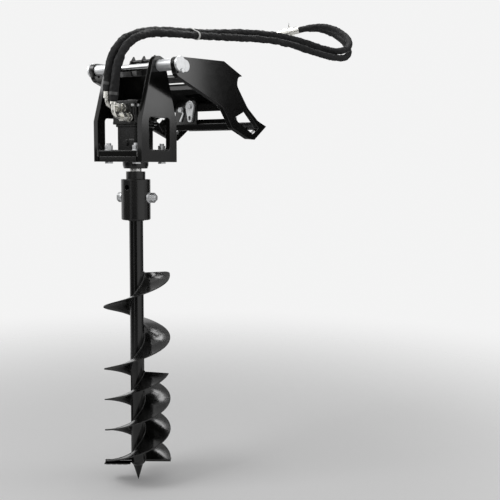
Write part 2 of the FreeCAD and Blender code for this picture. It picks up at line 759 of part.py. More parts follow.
def rear_plate():
    """The web between the side plates, along their rear taper."""
    top = -REAR_PLATE_TOP_DROP
    bottom = -REAR_PLATE_BOTTOM_DROP
    corners = [
        (rear_edge_y(top), top, 0),
        (rear_edge_y(bottom), bottom, 0),
        (rear_edge_y(bottom) - REAR_PLATE_THICK, bottom, 0),
        (rear_edge_y(top) - REAR_PLATE_THICK, top, 0),
    ]
    return cross_bar(corners, CRADLE_INSIDE)


def mount_bolt_places():
    half = MOUNT_BOLT_SPACING / 2
    return [vec(a * half, b * half, 0) for a in (-1, 1) for b in (-1, 1)]


def floor_plate():
    low = vec(-CRADLE_INSIDE, -HALF_DEPTH, FLOOR_TOP - FLOOR_THICK)
    plate = block(low, vec(CRADLE_INSIDE, HALF_DEPTH, FLOOR_TOP))
    plate = plate.cut(rod(NOSE_RADIUS + SEAT_GAP, FLOOR_THICK, vec(0, 0, FLOOR_TOP - FLOOR_THICK), Z_AXIS))
    for place in mount_bolt_places():
        base = place + vec(0, 0, FLOOR_TOP - FLOOR_THICK)
        plate = plate.cut(rod(MOUNT_BOLT_RADIUS + MOUNT_BOLT_PLAY, FLOOR_THICK, base, Z_AXIS))
    return plate


def guide_places():
    """X of the three hose guide lugs."""
    return [GUIDE_SHIFT + GUIDE_PITCH * i for i in (-1, 0, 1)]


def guide_lug(x):
    """A thin lug welded to the rear plate; its front edge leans back to a tip above the guide bar."""
    foot = -REAR_PLATE_TOP_DROP
    y = rear_edge_y(foot) + SEAT_GAP
    top = foot + GUIDE_LUG_RISE
    corners = [
        (vec(x, y, foot - GUIDE_LUG_FOOT), 0),
        (vec(x, y + GUIDE_LUG_BACK, foot), GUIDE_LUG_ROUND),
        (vec(x, y + GUIDE_LUG_BACK, top - GUIDE_LUG_BACK), GUIDE_LUG_ROUND),
        (vec(x, y + GUIDE_LUG_TIP, top), GUIDE_LUG_ROUND / 2),
        (vec(x, y - GUIDE_LUG_NOSE, foot + GUIDE_LUG_NOSE_RISE), GUIDE_LUG_ROUND / 2),
        (vec(x, y, foot + GUIDE_LUG_ROUND), 0),
    ]
    lug = Part.Face(rounded_wire(corners)).extrude(vec(GUIDE_LUG_THICK, 0, 0))
    return lug.cut(rear_plate()).cut(rod(GUIDE_BAR_RADIUS + SEAT_GAP, CRADLE_WIDTH, guide_bar_start(), X_AXIS))


def guide_bar_start():
    foot = -REAR_PLATE_TOP_DROP
    return vec(-CRADLE_INSIDE + GUIDE_INSET, rear_edge_y(foot) + GUIDE_BAR_BACK, foot + GUIDE_BAR_RISE)


def guide_bar():
    return rod(GUIDE_BAR_RADIUS, GUIDE_BAR_LENGTH, guide_bar_start(), X_AXIS)


def mount_bolt(place):
    """A hexagon bolt up through the drive flange and the floor, with its nut and washer."""
    under = -CRADLE_DROP
    head = hexagon(3.0 * MOUNT_BOLT_RADIUS, MOUNT_HEAD_THICK, place + vec(0, 0, under), Z_AXIS * -1)
    length = FLANGE_THICK + FLOOR_THICK + MOUNT_WASHER_THICK + MOUNT_NUT_THICK + MOUNT_BOLT_TAIL
    return head.fuse(rod(MOUNT_BOLT_RADIUS - SEAT_GAP, length, place + vec(0, 0, under), Z_AXIS))


def mount_nut(place):
    base = place + vec(0, 0, FLOOR_TOP + MOUNT_WASHER_THICK)
    nut = hexagon(3.0 * MOUNT_BOLT_RADIUS, MOUNT_NUT_THICK, base, Z_AXIS)
    return nut.cut(rod(MOUNT_BOLT_RADIUS, MOUNT_NUT_THICK, base, Z_AXIS))


def mount_washer(place):
    base = place + vec(0, 0, FLOOR_TOP)
    return ring(1.9 * MOUNT_BOLT_RADIUS, MOUNT_BOLT_RADIUS, MOUNT_WASHER_THICK, base, Z_AXIS)


def build_cradle():
    for name, side in SIDES.items():
        export("cradle_side_plate_" + name, cradle_side_plate(side))
    export("pin_bushes", pin_bush(-1), pin_bush(1))
    export("cradle_rear_plate", rear_plate())
    export("cradle_floor", floor_plate())
    export("hose_guide", guide_bar(), *[guide_lug(x) for x in guide_places()])
    places = mount_bolt_places()
    export("drive_bolts", *[mount_bolt(place) for place in places])
    export("drive_nuts", *[mount_nut(place) for place in places], *[mount_washer(place) for place in places])


# Gear teeth


def involute(angle):
    return math.tan(angle) - angle


def gear_outline(teeth, rise, depth, play, phase):
    """Points of a gear's outline; play narrows each tooth (or widens it, if negative)."""
    pitch = GEAR_MODULE * teeth / 2
    pressure = math.radians(PRESSURE_ANGLE)
    base = pitch * math.cos(pressure)
    root = pitch - depth * GEAR_MODULE
    tip = pitch + rise * GEAR_MODULE
    half_tooth = math.pi / (2 * teeth) - play / (2 * pitch)
    start = max(base, root)
    radii = [start + (tip - start) * i / 4 for i in range(5)]
    flank = [(root, half_tooth + involute(pressure) - involute(math.acos(min(1, base / start))))]
    for radius in radii:
        flank.append((radius, half_tooth + involute(pressure) - involute(math.acos(min(1, base / radius)))))
    points = []
    for tooth in range(teeth):
        centre = 2 * math.pi * tooth / teeth + phase
        for radius, half in flank:
            points.append(vec(radius * math.cos(centre - half), radius * math.sin(centre - half), 0))
        for radius, half in reversed(flank):
            points.append(vec(radius * math.cos(centre + half), radius * math.sin(centre + half), 0))
    kept = [points[0]]
    for point in points[1:]:
        if (point - kept[-1]).Length > 0.02:
            kept.append(point)
    return kept


def gear_blank(points, thickness, z):
    moved = [point + vec(0, 0, z) for point in points]
    return Part.Face(Part.makePolygon(moved + [moved[0]])).extrude(vec(0, 0, thickness))


def gear_levels():
    """Heights in the gearbox: the gears' underside, then the carrier's underside."""
    gears = FLOOR_TOP + GEARBOX_FLOOR + 2 * CARRIER_THICK - 2
    return gears, gears - 2.0 - CARRIER_THICK


def planet_centre(index):
    reach = GEAR_MODULE * (SUN_TEETH + PLANET_TEETH) / 2
    angle = 2 * math.pi * index / PLANET_COUNT
    return vec(reach * math.cos(angle), reach * math.sin(angle), 0)


def sun_gear():
    z, _ = gear_levels()
    blank = gear_blank(gear_outline(SUN_TEETH, TOOTH_RISE, TOOTH_DEPTH, BACKLASH, 0.0), PLANET_THICK, z)
    return blank.cut(rod(DRIVE_SHAFT_RADIUS - 4 + SEAT_GAP, PLANET_THICK, vec(0, 0, z), Z_AXIS))


def planet_gear(index):
    z, _ = gear_levels()
    outline = gear_outline(PLANET_TEETH, TOOTH_RISE, TOOTH_DEPTH, BACKLASH, math.pi / PLANET_TEETH)
    gear = gear_blank(outline, PLANET_THICK, z).cut(rod(PLANET_PIN_RADIUS + PIN_FIT, PLANET_THICK, vec(0, 0, z), Z_AXIS))
    gear = turned(gear, 360.0 * index / PLANET_COUNT)
    gear.translate(planet_centre(index))
    return gear


def ring_gear():
    z, _ = gear_levels()
    pitch = GEAR_MODULE * RING_TEETH / 2
    outer = pitch + TOOTH_DEPTH * GEAR_MODULE + RING_WALL
    hole = gear_blank(gear_outline(RING_TEETH, TOOTH_DEPTH, TOOTH_RISE, -BACKLASH, math.pi / RING_TEETH), PLANET_THICK, z)
    return rod(outer, PLANET_THICK, vec(0, 0, z), Z_AXIS).cut(hole)


def ring_gear_radius():
    return GEAR_MODULE * RING_TEETH / 2 + TOOTH_DEPTH * GEAR_MODULE + RING_WALL


# Drive housing


def square_body(side, chamfer, low, high):
    half = side / 2
    cut = half - chamfer
    corners = [(half, -cut), (half, cut), (cut, half), (-cut, half), (-half, cut), (-half, -cut), (-cut, -half), (cut, -half)]
    points = [vec(x, y, low) for x, y in corners]
    return Part.Face(Part.makePolygon(points + [points[0]])).extrude(vec(0, 0, high - low))


def gearbox_housing():
    gears, carrier = gear_levels()
    body = square_body(GEARBOX_SIDE, GEARBOX_CHAMFER, FLOOR_TOP, GEARBOX_TOP)
    ledge = square_body(GEARBOX_SIDE + 2 * GEARBOX_LEDGE, GEARBOX_CHAMFER, GEARBOX_TOP - 8, GEARBOX_TOP)
    body = body.fuse(ledge).removeSplitter()
    chamber = rod(ring_gear_radius() + SEAT_GAP, GEARBOX_TOP - gears, vec(0, 0, gears), Z_AXIS)
    pocket = rod(CARRIER_RADIUS + 3, gears - carrier + 2, vec(0, 0, carrier - 2), Z_AXIS)
    throat = rod(bearing_inner() + 4, GEARBOX_HEIGHT, vec(0, 0, FLOOR_TOP), Z_AXIS)
    return body.fuse(gearbox_pad()).cut(chamber).cut(pocket).cut(throat)


def bearing_inner():
    """The output shaft's radius in its bearings."""
    return NECK_RADIUS + 2.5


def drive_flange():
    """The output housing: square flange under the floor, spigot through it and nose below."""
    half_width = CRADLE_INSIDE - FLANGE_CLEARANCE
    low = vec(-half_width, -HALF_DEPTH, -CRADLE_DROP)
    plate = block(low, vec(half_width, HALF_DEPTH, -CRADLE_DROP + FLANGE_THICK))
    spigot = rod(NOSE_RADIUS, FLOOR_THICK, vec(0, 0, FLOOR_TOP - FLOOR_THICK), Z_AXIS)
    nose = rod(NOSE_RADIUS, NOSE_DROP / 2, vec(0, 0, -CRADLE_DROP), Z_AXIS * -1)
    tip = Part.makeCone(NOSE_TIP_RADIUS, NOSE_RADIUS, NOSE_DROP / 2, vec(0, 0, NOSE_BOTTOM), Z_AXIS)
    housing = plate.fuse(spigot).fuse(nose).fuse(tip).removeSplitter()
    shelf = NOSE_BOTTOM + SEAL_THICK + 2
    bore = rod(BEARING_OUTER_RADIUS + SEAT_GAP, FLOOR_TOP - shelf, vec(0, 0, shelf), Z_AXIS)
    mouth = rod(SEAL_RADIUS + SEAT_GAP, SEAL_THICK + 2, vec(0, 0, NOSE_BOTTOM), Z_AXIS)
    housing = housing.cut(bore).cut(mouth)
    for place in mount_bolt_places():
        base = place + vec(0, 0, -CRADLE_DROP)
        housing = housing.cut(rod(MOUNT_BOLT_RADIUS + MOUNT_BOLT_PLAY, FLANGE_THICK, base, Z_AXIS))
    return housing


def ball_bearing(inner, outer, thickness, z, balls):
    """Inner ring, outer ring and balls, as separate solids."""
    third = (outer - inner) / 3
    middle = (outer + inner) / 2
    ball = third * 0.72
    groove = Part.makeTorus(middle, ball + 0.05, vec(0, 0, z + thickness / 2), Z_AXIS)
    rings = [
        ring(inner + third, inner, thickness, vec(0, 0, z), Z_AXIS).cut(groove),
        ring(outer, outer - third, thickness, vec(0, 0, z), Z_AXIS).cut(groove),
    ]
    start = vec(middle, 0, z + thickness / 2)
    return rings + [turned(Part.makeSphere(ball, start), 360.0 * i / balls) for i in range(balls)]


def output_seal():
    return ring(SEAL_RADIUS, bearing_inner() + PIN_FIT, SEAL_THICK, vec(0, 0, NOSE_BOTTOM + 1), Z_AXIS)


def gearbox_plug():
    """The hexagon plug in the gearbox's front face."""
    face = vec(4.0, -GEARBOX_SIDE / 2, GEARBOX_TOP - 60)
    return hexagon(17.0, 7.0, face, Y_AXIS * -1).fuse(rod(11.0, 2.0, face, Y_AXIS * -1))


def gearbox_pad():
    """The raised plain pad beside the plug."""
    low = vec(PAD_LEFT, -GEARBOX_SIDE / 2 - PAD_RISE, GEARBOX_TOP - 76)
    return block(low, low + vec(PAD_WIDTH, PAD_RISE, PAD_HEIGHT))


# Motor


def motor_block():
    waist = square_body(MOTOR_SIDE - 2 * MOTOR_WAIST, MOTOR_CHAMFER, GEARBOX_TOP, BLOCK_TOP)
    foot = square_body(MOTOR_SIDE, MOTOR_CHAMFER, GEARBOX_TOP, GEARBOX_TOP + 10)
    front = block(vec(-MOTOR_SIDE / 2 + MOTOR_CHAMFER, -MOTOR_SIDE / 2, GEARBOX_TOP), vec(30, 0, BLOCK_TOP))
    body = waist.fuse(foot).fuse(front).removeSplitter()
    body = body.cut(rod(MOTOR_RING_RADIUS + SEAT_GAP, MOTOR_RING_THICK, vec(0, 0, BLOCK_TOP - MOTOR_RING_THICK), Z_AXIS))
    body = body.cut(rod(DRIVE_SHAFT_RADIUS + 3, MOTOR_BLOCK_HEIGHT, vec(0, 0, GEARBOX_TOP), Z_AXIS))
    body = body.cut(rod(MOTOR_BEARING_RADIUS + SEAT_GAP, MOTOR_BEARING_THICK, vec(0, 0, GEARBOX_TOP), Z_AXIS))
    for x, y in motor_screw_places():
        body = body.cut(rod(MOTOR_SCREW_RADIUS + 4, MOTOR_BLOCK_HEIGHT, vec(x, y, GEARBOX_TOP + 30), Z_AXIS))
    for x, z in (SUPPLY_PORT, RETURN_PORT):
        body = body.cut(rod(PORT_RADIUS, PORT_DEPTH, vec(x, -MOTOR_SIDE / 2, z), Y_AXIS))
    side_hole = vec(MOTOR_SIDE / 2 - MOTOR_WAIST, SIDE_PLUG_BACK, GEARBOX_TOP + 10 + SIDE_PLUG_RADIUS)
    return body.cut(rod(PORT_RADIUS, PORT_DEPTH, side_hole, X_AXIS * -1))


def motor_screw_places():
    """Screw centres up the block's flanks, two beside each corner."""
    edge = MOTOR_SIDE / 2 - MOTOR_WAIST - 1
    places = []
    for x in (-MOTOR_SCREW_OFFSET, MOTOR_SCREW_OFFSET):
        for y in (-edge, edge):
            places.append((x, y))
            places.append((y, x))
    return places


def motor_screw(x, y):
    """A cap screw up into the end cap, its head just under it."""
    head = rod(MOTOR_SCREW_RADIUS + 2.5, 8.0, vec(x, y, BLOCK_TOP), Z_AXIS * -1)
    socket = hexagon(6.0, 4.0, vec(x, y, BLOCK_TOP - 8.0), Z_AXIS)
    shank = rod(MOTOR_SCREW_RADIUS - SEAT_GAP, MOTOR_CAP_THICK - 2, vec(x, y, BLOCK_TOP), Z_AXIS)
    return head.cut(socket).fuse(shank)


def motor_cap():
    cap = square_body(MOTOR_SIDE, MOTOR_CHAMFER, BLOCK_TOP, MOTOR_TOP)
    for x, y in motor_screw_places():
        cap = cap.cut(rod(MOTOR_SCREW_RADIUS, MOTOR_CAP_THICK - 2, vec(x, y, BLOCK_TOP), Z_AXIS))
    boss = rod(30.0, 5.0, vec(0, 0, MOTOR_TOP), Z_AXIS)
    return cap.fuse(boss).removeSplitter()


def motor_ring():
    """The fixed ring with its seat for each roller."""
    base = vec(0, 0, BLOCK_TOP - MOTOR_RING_THICK)
    body = ring(MOTOR_RING_RADIUS, ROLLER_CIRCLE - 1.0, MOTOR_RING_THICK, base, Z_AXIS)
    for i in range(ROLLER_COUNT):
        seat = turned(rod(ROLLER_RADIUS + SEAT_GAP, MOTOR_RING_THICK, base + vec(ROLLER_CIRCLE, 0, 0), Z_AXIS), 360.0 * i / ROLLER_COUNT)
        body = body.cut(seat)
    return body


def motor_rollers():
    base = vec(ROLLER_CIRCLE, 0, BLOCK_TOP - MOTOR_RING_THICK + 0.2)
    roller = rod(ROLLER_RADIUS, MOTOR_RING_THICK - 0.4, base, Z_AXIS)
    return [turned(roller, 360.0 * i / ROLLER_COUNT) for i in range(ROLLER_COUNT)]


def motor_rotor():
    """The lobed rotor that drives the shaft."""
    base_z = BLOCK_TOP - MOTOR_RING_THICK + 0.5
    steps = 12 * ROTOR_LOBES
    points = []
    for i in range(steps):
        angle = 2 * math.pi * i / steps
        radius = ROTOR_RADIUS + ROTOR_WAVE * math.cos(ROTOR_LOBES * angle)
        points.append(vec(radius * math.cos(angle), radius * math.sin(angle), base_z))
    star = Part.Face(Part.makePolygon(points + [points[0]])).extrude(vec(0, 0, MOTOR_RING_THICK - 1))
    return star.cut(rod(DRIVE_SHAFT_RADIUS + SEAT_GAP, MOTOR_RING_THICK, vec(0, 0, base_z), Z_AXIS))


def drive_shaft():
    """From the rotor down through the motor's bearing to the sun gear."""
    gears, _ = gear_levels()
    shoulder = gears + PLANET_THICK
    upper = rod(DRIVE_SHAFT_RADIUS, BLOCK_TOP - 2 - shoulder, vec(0, 0, shoulder), Z_AXIS)
    return upper.fuse(rod(DRIVE_SHAFT_RADIUS - 4, PLANET_THICK, vec(0, 0, gears), Z_AXIS)).removeSplitter()


def side_plug():
    """The round plug in the motor's right flank."""
    face = vec(MOTOR_SIDE / 2 - MOTOR_WAIST, SIDE_PLUG_BACK, GEARBOX_TOP + 10 + SIDE_PLUG_RADIUS)
    cup = rod(SIDE_PLUG_RADIUS, SIDE_PLUG_REACH, face, X_AXIS)
    well = hexagon(12.0, 5.0, face + X_AXIS * (SIDE_PLUG_REACH - 5), X_AXIS)
    stub = rod(PORT_RADIUS - SEAT_GAP, PORT_DEPTH, face, X_AXIS * -1)
    return cup.cut(well).fuse(stub)


def build_drive():
    gears, carrier = gear_levels()
    export("gearbox_housing", gearbox_housing())
    export("drive_flange", drive_flange())
    export("drive_plugs", gearbox_plug(), side_plug())
    export("ring_gear", ring_gear())
    export("sun_gear", sun_gear())
    for i in range(PLANET_COUNT):
        export("planet_gear_" + str(i + 1), planet_gear(i))
    lower = NOSE_BOTTOM + SEAL_THICK + 2
    upper = FLOOR_TOP - BEARING_THICK
    solids = []
    for z in (upper, lower):
        solids += ball_bearing(bearing_inner() + PIN_FIT, BEARING_OUTER_RADIUS, BEARING_THICK, z, BEARING_BALLS)
    solids += ball_bearing(DRIVE_SHAFT_RADIUS + PIN_FIT, MOTOR_BEARING_RADIUS, MOTOR_BEARING_THICK, GEARBOX_TOP, MOTOR_BEARING_BALLS)
    export("drive_bearings", *solids)
    export("output_seal", output_seal())
    export("motor_block", motor_block())
    export("motor_cap", motor_cap())
    export("motor_screws", *[motor_screw(x, y) for x, y in motor_screw_places()])
    export("motor_ring", motor_ring(), *motor_rollers())
    export("motor_rotor", motor_rotor())
    export("drive_shaft", drive_shaft())


# Hydraulic fittings


def port_adapter(port):
    """A hexagon adapter screwed into a port, with a collar and a swivel nut in front."""
    x, z = port
    face = vec(x, -MOTOR_SIDE / 2, z)
    front = Y_AXIS * -1
    stub = rod(PORT_RADIUS - SEAT_GAP, PORT_DEPTH, face, Y_AXIS)
    body = rod(15.0, 4.0, face, front).fuse(hexagon(ADAPTER_HEX, 12.0, face + front * 4, front))
    neck = rod(9.0, 6.0, face + front * 16, front)
    nut = hexagon(ADAPTER_HEX, ADAPTER_LENGTH - 22, face + front * 22, front)
    return stub.fuse(body).fuse(neck).fuse(nut)


def arc_radii(points):
    """The radius at each inner point: a share of the shorter run over the half turn."""
    radii = []
    for i in range(1, len(points) - 1):
        before = points[i - 1] - points[i]
        after = points[i + 1] - points[i]
        half_turn = (math.pi - before.getAngle(after)) / 2
        radii.append(HOSE_ARC_SHARE * min(before.Length, after.Length) / math.tan(half_turn))
    return radii


def route_wire(points, radii):
    """Straight runs through points, joined by tangent arcs of the given radii."""
    edges = []
    start = points[0]
    for i in range(1, len(points) - 1):
        corner = points[i]
        radius = radii[i - 1]
        before = (points[i - 1] - corner).normalize()
        after = (points[i + 1] - corner).normalize()
        half = before.getAngle(after) / 2
        back = radius / math.tan(half)
        centre = corner + (before + after).normalize() * (radius / math.sin(half))
        middle = centre + (corner - centre).normalize() * radius
        first = corner + before * back
        last = corner + after * back
        edges.append(Part.LineSegment(start, first).toShape())
        edges.append(Part.Arc(first, middle, last).toShape())
        start = last
    edges.append(Part.LineSegment(start, points[-1]).toShape())
    return Part.Wire(edges)


def tube_along(wire, radius):
    start = wire.Vertexes[0].Point
    heading = wire.Edges[0].tangentAt(wire.Edges[0].FirstParameter)
    profile = Part.Wire([Part.makeCircle(radius, start, heading)])
    return wire.makePipeShell([profile], True, False)


def elbow(port, route, ferrule_length):
    """The hose end: a bent stem out of the swivel nut, and the crimped ferrule on top."""
    x, z = port
    face = -MOTOR_SIDE / 2
    corner_y = face - ELBOW_REACH
    hose_start, following = route_points(route)[:2]
    heading = (following - hose_start).normalize()
    stem_top = hose_start - heading * (ferrule_length / 2)
    points = [vec(x, face - ADAPTER_LENGTH, z), vec(x, corner_y, z), stem_top]
    stem = tube_along(route_wire(points, [ELBOW_BEND]), ELBOW_RADIUS)
    shell = rod(FERRULE_RADIUS, ferrule_length, hose_start, heading * -1)
    return stem.fuse(shell)


def build_fittings():
    export("port_adapters", port_adapter(SUPPLY_PORT), port_adapter(RETURN_PORT))
    supply_end = elbow(SUPPLY_PORT, SUPPLY_ROUTE, SUPPLY_FERRULE_LENGTH)
    return_end = elbow(RETURN_PORT, RETURN_ROUTE, RETURN_FERRULE_LENGTH)
    export("hose_elbows", supply_end, return_end)


# Hoses and their couplings


def route_points(route):
    return [vec(*point) for point in route]


def hose(name, route):
    """One hose as a plain tube; its radii and length are printed."""
    points = route_points(route)
    radii = arc_radii(points)
    wire = route_wire(points, radii)
    tube = tube_along(wire, HOSE_RADIUS)
    swept = math.pi * HOSE_RADIUS ** 2 * wire.Length
    print(name, "length", round(wire.Length), "volume share", round(tube.Volume / swept, 4))
    print(name, "radii", [round(radius) for radius in radii])
    return tube


def hose_tie():
    """The band that holds the two hoses together behind the cradle."""
    centres = []
    for route in (SUPPLY_ROUTE, RETURN_ROUTE):
        points = route_points(route)
        wire = route_wire(points, arc_radii(points))
        cut = Part.makePlane(4000, 4000, vec(-2000, TIE_Y, 2000), Y_AXIS, X_AXIS)
        centres.append(wire.distToShape(cut)[1][0][0])
    first, second = centres
    across = Y_AXIS.cross(second - first).normalize()

    def loop(radius):
        """A closed band shape round both hoses, radius from each centre."""
        lift = across * radius
        reach = (second - first).normalize() * radius
        edges = [
            Part.LineSegment(first + lift, second + lift).toShape(),
            Part.Arc(second + lift, second + reach, second - lift).toShape(),
            Part.LineSegment(second - lift, first - lift).toShape(),
            Part.Arc(first - lift, first - reach, first + lift).toShape(),
        ]
        face = Part.Face(Part.Wire(edges))
        face.translate(vec(0, -TIE_WIDTH / 2, 0))
        return face.extrude(vec(0, TIE_WIDTH, 0))

    inner = HOSE_RADIUS + SWING_GAP + 0.2
    return loop(inner + TIE_WALL).cut(loop(inner))


def sleeve_clamp(route):
    """The band round a hose's woven sleeve, a little above the ferrule."""
    points = route_points(route)
    heading = (points[1] - points[0]).normalize()
    base = points[0] + heading * CLAMP_SETBACK
    inner = HOSE_RADIUS + SWING_GAP
    return ring(inner + CLAMP_WALL, inner, CLAMP_WIDTH, base, heading)


def hose_end(route):
    """The hose's far end and the way it points."""
    points = route_points(route)
    return points[-1], (points[-1] - points[-2]).normalize()


def coupling_body(route):
    """The crimped shell and hexagon that both couplings share, and where they end."""
    end, heading = hose_end(route)
    shell = rod(COUPLER_RADIUS - 2.5, 24.0, end, heading)
    nut = hexagon(COUPLER_HEX, 14.0, end + heading * 24.0, heading)
    return shell.fuse(nut), end + heading * 38.0, heading


def coupling_plug():
    """The male half, on the return hose."""
    body, face, heading = coupling_body(RETURN_ROUTE)
    collar = rod(COUPLER_RADIUS - 1.5, 8.0, face, heading)
    plug = rod(PLUG_RADIUS, PLUG_LENGTH, face + heading * 8.0, heading)
    groove = ring(COUPLER_RADIUS, PLUG_RADIUS - 1.6, 4.0, face + heading * 18.0, heading)
    return body.fuse(collar).fuse(plug).cut(groove)


def sleeve_start(face, heading):
    return face + heading * (SLEEVE_TRAVEL + 4.0)


def coupling_socket():
    """The female half, on the supply hose, open at its mouth."""
    body, face, heading = coupling_body(SUPPLY_ROUTE)
    length = SOCKET_DEPTH + 12.0
    barrel = rod(COUPLER_RADIUS - 1.0, length, face, heading)
    bore = rod(SOCKET_RADIUS, SOCKET_DEPTH, face + heading * 12.0, heading)
    return body.fuse(barrel).cut(bore)


def coupling_sleeve():
    """The sleeve that slides back on the female half."""
    _, face, heading = coupling_body(SUPPLY_ROUTE)
    inner = COUPLER_RADIUS - 1.0 + PIN_FIT
    return ring(inner + SLEEVE_WALL, inner, SLEEVE_LENGTH, sleeve_start(face, heading), heading)


def build_hoses():
    export("supply_hose", hose("supply_hose", SUPPLY_ROUTE))
    export("return_hose", hose("return_hose", RETURN_ROUTE))
    export("hose_tie", hose_tie())
    export("sleeve_clamps", sleeve_clamp(SUPPLY_ROUTE), sleeve_clamp(RETURN_ROUTE))
    export("coupling_plug", coupling_plug())
    export("coupling_socket", coupling_socket())
    export("coupling_sleeve", coupling_sleeve())


# Output shaft, hub and auger


def output_shaft():
    """The carrier and the output shaft in one piece, down into the auger's hub."""
    _, carrier = gear_levels()
    disc = rod(CARRIER_RADIUS, CARRIER_THICK, vec(0, 0, carrier), Z_AXIS)
    journal = rod(bearing_inner(), carrier - NOSE_BOTTOM, vec(0, 0, NOSE_BOTTOM), Z_AXIS)
    neck = rod(NECK_RADIUS, NECK_LENGTH, vec(0, 0, SHAFT_TOP), Z_AXIS)
    shaft = rod(SHAFT_RADIUS, SHAFT_SHOWN + SHAFT_IN_HUB, vec(0, 0, SHAFT_TOP), Z_AXIS * -1)
    solid = disc.fuse(journal).fuse(neck).fuse(shaft).removeSplitter()
    for i in range(PLANET_COUNT):
        place = planet_centre(i) + vec(0, 0, carrier)
        solid = solid.cut(rod(PLANET_PIN_RADIUS, CARRIER_THICK, place, Z_AXIS))
    return solid.cut(hub_bolt_hole()).cut(spare_hole())


def planet_pins():
    gears, carrier = gear_levels()
    pins = []
    for i in range(PLANET_COUNT):
        place = planet_centre(i) + vec(0, 0, carrier)
        pins.append(rod(PLANET_PIN_RADIUS - SEAT_GAP, gears + PLANET_THICK - carrier + 2, place, Z_AXIS))
    return pins


def hub_bolt_hole():
    start = vec(-2 * HUB_RADIUS, 0, HUB_TOP - HUB_BOLT_DROP)
    return turned(rod(HUB_BOLT_RADIUS + SEAT_GAP, 4 * HUB_RADIUS, start, X_AXIS), HUB_TURN)


def spare_hole():
    start = vec(-2 * HUB_RADIUS, 0, HUB_TOP - SPARE_HOLE_DROP)
    return turned(rod(SPARE_HOLE_RADIUS, 4 * HUB_RADIUS, start, X_AXIS), SPARE_HOLE_TURN)


def auger_hub():
    body = rod(HUB_RADIUS, HUB_LENGTH, vec(0, 0, HUB_BOTTOM), Z_AXIS)
    foot = [edge for edge in body.Edges if abs(edge.BoundBox.ZMax - HUB_BOTTOM) < 1e-3 and edge.Length > HUB_RADIUS]
    body = body.makeFillet(HUB_CHAMFER, foot)
    head = [edge for edge in body.Edges if abs(edge.BoundBox.ZMin - HUB_TOP) < 1e-3 and edge.Length > HUB_RADIUS]
    body = body.makeChamfer(1.5, head)
    socket = rod(SHAFT_RADIUS + PIN_FIT, SHAFT_IN_HUB, vec(0, 0, HUB_TOP), Z_AXIS * -1)
    seat = rod(TUBE_RADIUS + SEAT_GAP, TUBE_SOCKET, vec(0, 0, HUB_BOTTOM), Z_AXIS)
    return body.cut(socket).cut(seat).cut(hub_bolt_hole()).cut(spare_hole())


def hub_bolt():
    """The bolt through hub and shaft; its head is on the -X side."""
    z = HUB_TOP - HUB_BOLT_DROP
    left = vec(-HUB_RADIUS - 4.0, 0, z)
    head = hexagon(3.0 * HUB_BOLT_RADIUS, 12.5, left, X_AXIS * -1)
    shank = rod(HUB_BOLT_RADIUS - SEAT_GAP, 2 * HUB_RADIUS + 4.0 + 28.0, left, X_AXIS)
    return turned(head.fuse(shank), HUB_TURN)


def hub_washers():
    z = HUB_TOP - HUB_BOLT_DROP
    washers = []
    for side in (-1, 1):
        start = vec(side * (HUB_RADIUS + 4.0), 0, z)
        washer = ring(1.85 * HUB_BOLT_RADIUS, HUB_BOLT_RADIUS, 6.0, start, X_AXIS * -side)
        washers.append(turned(washer.cut(rod(HUB_RADIUS, HUB_LENGTH, vec(0, 0, HUB_BOTTOM), Z_AXIS)), HUB_TURN))
    return washers


def hub_nut():
    start = vec(HUB_RADIUS + 4.0, 0, HUB_TOP - HUB_BOLT_DROP)
    nut = hexagon(3.0 * HUB_BOLT_RADIUS, 18.0, start, X_AXIS)
    nut = nut.cut(rod(HUB_BOLT_RADIUS, 18.0, start, X_AXIS))
    return turned(nut, HUB_TURN)


def auger_tube():
    length = HUB_BOTTOM + TUBE_SOCKET - FLIGHT_BOTTOM
    return ring(TUBE_RADIUS, TUBE_RADIUS - TUBE_WALL, length, vec(0, 0, FLIGHT_BOTTOM), Z_AXIS)


def flight(top_turn, top_z, turns):
    """A right-handed screw blade that comes down from top_z at top_turn degrees."""
    height = turns * FLIGHT_PITCH
    inner = TUBE_RADIUS + WELD_GAP
    spine = Part.Wire(Part.makeHelix(FLIGHT_PITCH, height, inner).Edges)
    corners = [vec(inner, 0, 0), vec(FLIGHT_RADIUS, 0, 0), vec(FLIGHT_RADIUS, 0, FLIGHT_THICK), vec(inner, 0, FLIGHT_THICK)]
    profile = Part.makePolygon(corners + [corners[0]])
    blade = spine.makePipeShell([profile], True, True)
    blade.rotate(ORIGIN, Z_AXIS, top_turn - 360 * turns)
    blade.translate(vec(0, 0, top_z - height))
    return blade


def flight_sections(top_turn, top_z, turns, count):
    """A flight as equal sections that butt end to end, from its top down."""
    share = turns / count
    return [flight(top_turn - 360 * share * i, top_z - FLIGHT_PITCH * share * i, share) for i in range(count)]


def main_flight():
    """The long flight's sections, with the upper corner rounded."""
    start_turn = FLIGHT_END_TURN + 360 * FLIGHT_TURNS
    sections = flight_sections(start_turn, FLIGHT_TOP, FLIGHT_TURNS, FLIGHT_SECTIONS)
    sections[0] = sections[0].cut(corner_trim(start_turn, FLIGHT_TOP))
    return sections


def second_flight():
    """The second start's sections; it ends opposite the long flight."""
    top = FLIGHT_BOTTOM + SECOND_TURNS * FLIGHT_PITCH
    start_turn = FLIGHT_END_TURN + 180 + 360 * SECOND_TURNS
    return flight_sections(start_turn, top, SECOND_TURNS, SECOND_SECTIONS)


def corner_trim(turn, z):
    """What rounds off the outer corner of a blade's end that faces on from turn."""
    reach = FLIGHT_RADIUS - FLIGHT_CORNER
    square = block(vec(reach, -FLIGHT_CORNER, z - 50), vec(FLIGHT_RADIUS + 5, 5, z + 20))
    keep = rod(FLIGHT_CORNER, 90, vec(reach, -FLIGHT_CORNER, z - 60), Z_AXIS)
    return turned(square.cut(keep), turn)


